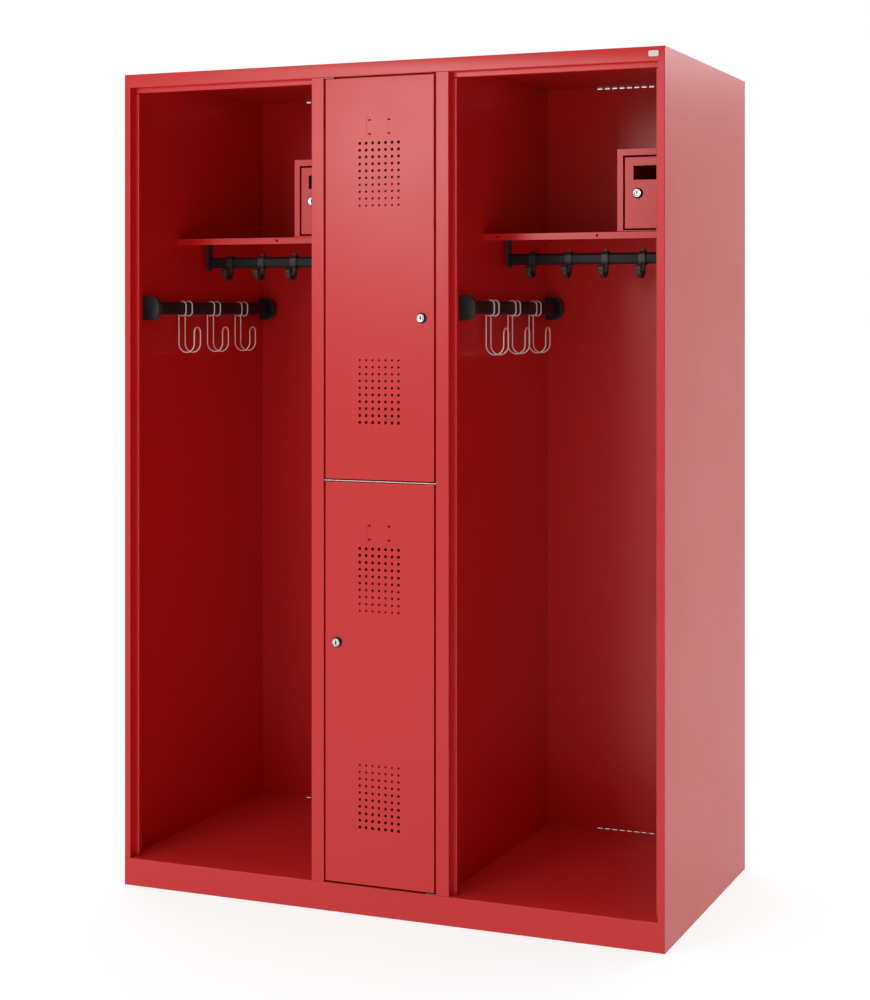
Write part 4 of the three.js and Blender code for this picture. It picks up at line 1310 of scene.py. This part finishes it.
@dataclass
class CoatRail:
    """Oval rail across the bay, its two drop brackets and the sliding hooks."""

    bay: str
    hooks: int = 4
    wall: float = 1.5 * MM
    ring_wall: float = 3 * MM
    ring_play: float = 0.5 * MM
    curl: float = 15 * MM
    curl_drop: float = 9.5 * MM
    screw: Point = (2.6 * MM, 1.4 * MM)
    screw_inset: float = 4.6 * MM
    screw_step: float = 6 * MM
    flange: float = 3 * MM
    bevel: float = 0.9 * MM

    def build(self, tools: Tools) -> None:
        """Builds and dresses the rail set.

        Args:
            tools: Bench and tools.
        """
        node = f"{self.bay}_coat_rail"
        low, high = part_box(node)
        self.y, self.z = (low.y + high.y) / 2, (low.z + high.z) / 2
        self.width, self.height = high.y - low.y, high.z - low.z
        bm = bmesh.new()
        tube(bm, Axis.X, (self.y, self.z), (self.width, self.height), self.wall, low.x, high.x)
        rail = to_object(bm, f"{node}_tube")
        smooth(rail)
        tools.give(rail, Slot.BLACK_RAIL, node)
        moulding = SheetFolder(bend=0.8 * MM, edge=0.3 * MM)
        for side in ("left", "right"):
            self._bracket(tools, moulding, f"{node}_{side}_bracket")
        for number in range(1, self.hooks + 1):
            self._hook(tools, f"{self.bay}_coat_hook_{number}")

    def _bracket(self, tools: Tools, moulding: SheetFolder, node: str) -> None:
        """Dresses one drop bracket and its two fixing screws."""
        piece = moulding.fold(node, f"{node}_moulding")
        smooth(piece, 40)
        tools.give(piece, Slot.BLACK_PLASTIC, node)
        low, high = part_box(node)
        inwards = 1 if "left" in node.split("_")[-2] else -1
        x = (high.x if inwards > 0 else low.x) - inwards * self.screw_inset
        foot = high.z - self.flange - self.screw[1]
        places = [Vector((x, self.y + step, foot)) for step in (-self.screw_step, self.screw_step)]
        screws = tools.setter.set_heads(f"{node}_screws", places, *self.screw, tools.material(Slot.ZINC))
        tools.bench.hand_over(screws, Slot.ZINC, tools.bench.body_of(node))

    def _hook(self, tools: Tools, node: str) -> None:
        """Builds one sliding hook: oval ring, lug on top, curl and knob below."""
        low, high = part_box(node)
        middle = (low.x + high.x) / 2
        bm = bmesh.new()
        inner = (self.width + 2 * self.ring_play, self.height + 2 * self.ring_play)
        outer = (inner[0] + 2 * self.ring_wall, inner[1] + 2 * self.ring_wall)
        soft, slight = self.bevel, 0.3 * self.bevel

        def ring(size: Point, more: float) -> Outline:
            """Oval of a size, made wider and taller."""
            return oval((self.y, self.z), size[0] + more, size[1] + more)

        loft(bm, Axis.X, [
            (ring(outer, -2 * soft), low.x), (ring(outer, -0.6 * soft), low.x + slight),
            (ring(outer, 0.0), low.x + soft), (ring(outer, 0.0), high.x - soft),
            (ring(outer, -0.6 * soft), high.x - slight), (ring(outer, -2 * soft), high.x),
            (ring(inner, 0.6 * soft), high.x), (ring(inner, 0.0), high.x - slight),
            (ring(inner, 0.0), low.x + slight), (ring(inner, 0.6 * soft), low.x)], True)
        ring_low = self.z - outer[1] / 2
        ring_high = self.z + outer[1] / 2
        lug = [(5.1, ring_high - 1 * MM), (5.5, ring_high + 1 * MM), (5.5, ring_high + 3.4 * MM),
               (4.6, high.z)]
        loft(bm, Axis.Z, [(superellipse((middle, self.y), half * MM, 3.5 * MM), z) for half, z in lug])
        curl_z = ring_low - self.curl_drop
        path = [(self.y, ring_low + 1.6 * MM)]
        path += arc((self.y - self.curl, curl_z), self.curl, 0, -180, 14)
        path += [(self.y - 2 * self.curl, curl_z + 4 * MM)]
        self._sweep(bm, middle, path)
        half_knob = ((3.9, -8.0), (5.6, -7.6), (6.7, -6.4), (7.0, -4.6))
        profile = half_knob + tuple((radius, -x) for radius, x in reversed(half_knob))
        loft(bm, Axis.X, [(circle(path[-1], radius * MM, 28), middle + x * MM) for radius, x in profile])
        piece = to_object(bm, f"{node}_moulding")
        smooth(piece, 40)
        tools.give(piece, Slot.BLACK_PLASTIC, node)

    def _sweep(self, bm: bmesh.types.BMesh, middle: float, path: Outline) -> None:
        """Sweeps the hook's rounded bar along its curl."""
        loops = []
        for i, (y, z) in enumerate(path):
            before, after = path[max(i - 1, 0)], path[min(i + 1, len(path) - 1)]
            run = Vector((0.0, after[0] - before[0], after[1] - before[1])).normalized()
            across = Vector((0.0, -run.z, run.y))
            section = superellipse((0.0, 0.0), 5.5 * MM, 4.5 * MM)
            loops.append([bm.verts.new(Vector((middle + a, y, z)) + across * b) for a, b in section])
        for low, high in zip(loops, loops[1:]):
            for i in range(len(low)):
                j = (i + 1) % len(low)
                bm.faces.new((low[i], low[j], high[j], high[i]))
        bm.faces.new(loops[0])
        bm.faces.new(loops[-1])


@dataclass
class SideRail:
    """Front-to-back rail on the bay's wall, its two end caps and the wire double hooks."""

    bay: str
    hooks: int = 3
    wall: float = 1.5 * MM
    cap_wall: float = 3 * MM
    cap_corner: float = 24 * MM
    socket_depth: float = 9 * MM
    wire: float = 1.5 * MM
    wire_play: float = 0.9 * MM
    wire_spacing: float = 26 * MM
    bowl: float = 21.3 * MM
    tip_rise: float = 61 * MM
    bevel: float = 1.2 * MM
    grip_play: float = 0.6 * MM
    sleeve_wall: float = 2 * MM
    overlap: float = 0.2 * MM

    def build(self, tools: Tools) -> None:
        """Builds and dresses the rail set.

        Args:
            tools: Bench and tools.
        """
        node = f"{self.bay}_side_rail"
        low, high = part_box(node)
        self.x, self.z = (low.x + high.x) / 2, (low.z + high.z) / 2
        self.width, self.height = high.x - low.x, high.z - low.z
        bm = bmesh.new()
        tube(bm, Axis.Y, (self.x, self.z), (self.width, self.height), self.wall, low.y, high.y)
        rail = to_object(bm, f"{node}_tube")
        smooth(rail)
        tools.give(rail, Slot.BLACK_RAIL, node)
        self._cap(tools, f"{node}_front_cap", 1)
        self._cap(tools, f"{node}_rear_cap", -1)
        for number in range(1, self.hooks + 1):
            self._wire_hook(tools, f"{self.bay}_wire_hook_{number}")

    def _dee(self, low: Vector, high: Vector, inset: float) -> Outline:
        """D-shaped outline with its flat against the wall."""
        r = self.cap_corner - inset
        wall, end = low.x + inset, high.x - inset
        top, bottom = high.z - inset, low.z + inset
        return [(wall, bottom), *arc((end - r, bottom + r), r, -90, 0, 12),
                *arc((end - r, top - r), r, 0, 90, 12), (wall, top)]

    def _cap(self, tools: Tools, node: str, way: int) -> None:
        """Builds one end cap: a hollow shell with a socket for the rail.

        Args:
            tools: Bench and tools.
            node: CAD node of the cap.
            way: 1 if the cap opens to the rear, -1 if to the front.
        """
        low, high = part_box(node)
        closed, opened = (low.y, high.y) if way > 0 else (high.y, low.y)
        floor = closed + way * self.cap_wall
        soft, lip = self.bevel, 0.3 * MM
        insets = ((soft, closed), (0.3 * soft, closed + way * 0.3 * soft), (0.0, closed + way * soft),
                  (0.0, opened - way * lip), (lip, opened), (self.cap_wall, opened), (self.cap_wall, floor))
        bm = bmesh.new()
        loft(bm, Axis.Y, [(self._dee(low, high, inset), y) for inset, y in insets])
        grip, sleeve = self.grip_play, self.grip_play + 2 * self.sleeve_wall
        root, end = floor - way * self.overlap, floor + way * self.socket_depth
        sizes = ((sleeve, root), (sleeve, end - way * 0.4 * MM), (sleeve - 0.8 * MM, end), (grip, end),
                 (grip, root))
        loft(bm, Axis.Y, [(oval((self.x, self.z), self.width + more, self.height + more), y)
                          for more, y in sizes], True)
        piece = to_object(bm, f"{node}_moulding")
        smooth(piece, 40)
        tools.give(piece, Slot.BLACK_PLASTIC, node)

    def _wire_hook(self, tools: Tools, node: str) -> None:
        """Bends one double hook that wraps over the rail twice."""
        low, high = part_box(node)
        middle = (low.y + high.y) / 2
        half = self.wire_spacing / 2
        rail = self.width / 2
        wrap = rail + self.wire_play + self.wire
        straight = self.height / 2 - rail
        bowl = (self.x - wrap + self.bowl, low.z + self.wire + self.bowl)
        profile = arc((self.x, self.z - straight), wrap, -125, 0, 10)
        profile += arc((self.x, self.z + straight), wrap, 0, 180, 16)
        profile += arc(bowl, self.bowl, 180, 360, 20)
        near = [Vector((x, middle - half, z)) for x, z in profile]
        far = [Vector((x, middle + half, z)) for x, z in reversed(profile)]
        tip_x, tip_z = bowl[0] + self.bowl, low.z + self.tip_rise - half
        bend = [Vector((tip_x, middle + y, tip_z + z)) for y, z in arc((0.0, 0.0), half, 180, 0, 16)]
        piece = tools.bender.bend(f"{node}_wire", near + bend + far, self.wire, 14,
                                  tools.material(Slot.CHROME_WIRE))
        smooth(piece, 50)
        tools.give(piece, Slot.CHROME_WIRE, node)


@dataclass
class Locker:
    """The whole locker."""

    bays: tuple[str, ...] = ("left_bay", "right_bay")
    doors: tuple[str, ...] = ("upper_door", "lower_door")

    def build(self, tools: Tools) -> None:
        """Builds every sub-assembly in order.

        Args:
            tools: Bench and tools.
        """
        Carcass().build(tools)
        for door in self.doors:
            VentilatedDoor(door).build(tools)
            CylinderLock(f"{door}_lock_case", f"{door}_lock_plug").build(tools)
            self._pivots(tools, door)
        for bay in self.bays:
            HatShelf(bay).build(tools)
            CylinderLock(f"{bay}_safe_lock_case", f"{bay}_safe_lock_plug").build(tools)
            CoatRail(bay).build(tools)
            SideRail(bay).build(tools)

    def _pivots(self, tools: Tools, door: str) -> None:
        """Dresses the two pivots of a door."""
        plate = SheetFolder(bend=0.25 * MM, edge=0.15 * MM)
        for end in ("top", "bottom"):
            node = f"{door}_{end}_pivot"
            piece = plate.fold(node, f"{node}_finished")
            smooth(piece, 40)
            tools.give(piece, Slot.ZINC, node)


def node_bodies(frame: dict) -> dict[str, str]:
    """Reads which body holds each CAD node.


    Returns:
        The body of each node.
    """
    return {name: node.parent.name.split(":", 1)[1] for name, node in frame["nodes"].items()}


def main() -> None:
    """Loads the frame, builds the locker over it and sets up the studio."""
    logging.basicConfig(level=logging.INFO, format="%(name)s: %(message)s")
    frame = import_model()
    Studio().open()
    bench = Bench(Finishes().dressed(), node_bodies(frame))
    tools = Tools(bench, SheetFolder(), PunchPress(), WireBender(), FixingSetter())
    Locker().build(tools)
    log.info("%d pieces in all", bench.count)


if __name__ == "__main__":
    main()
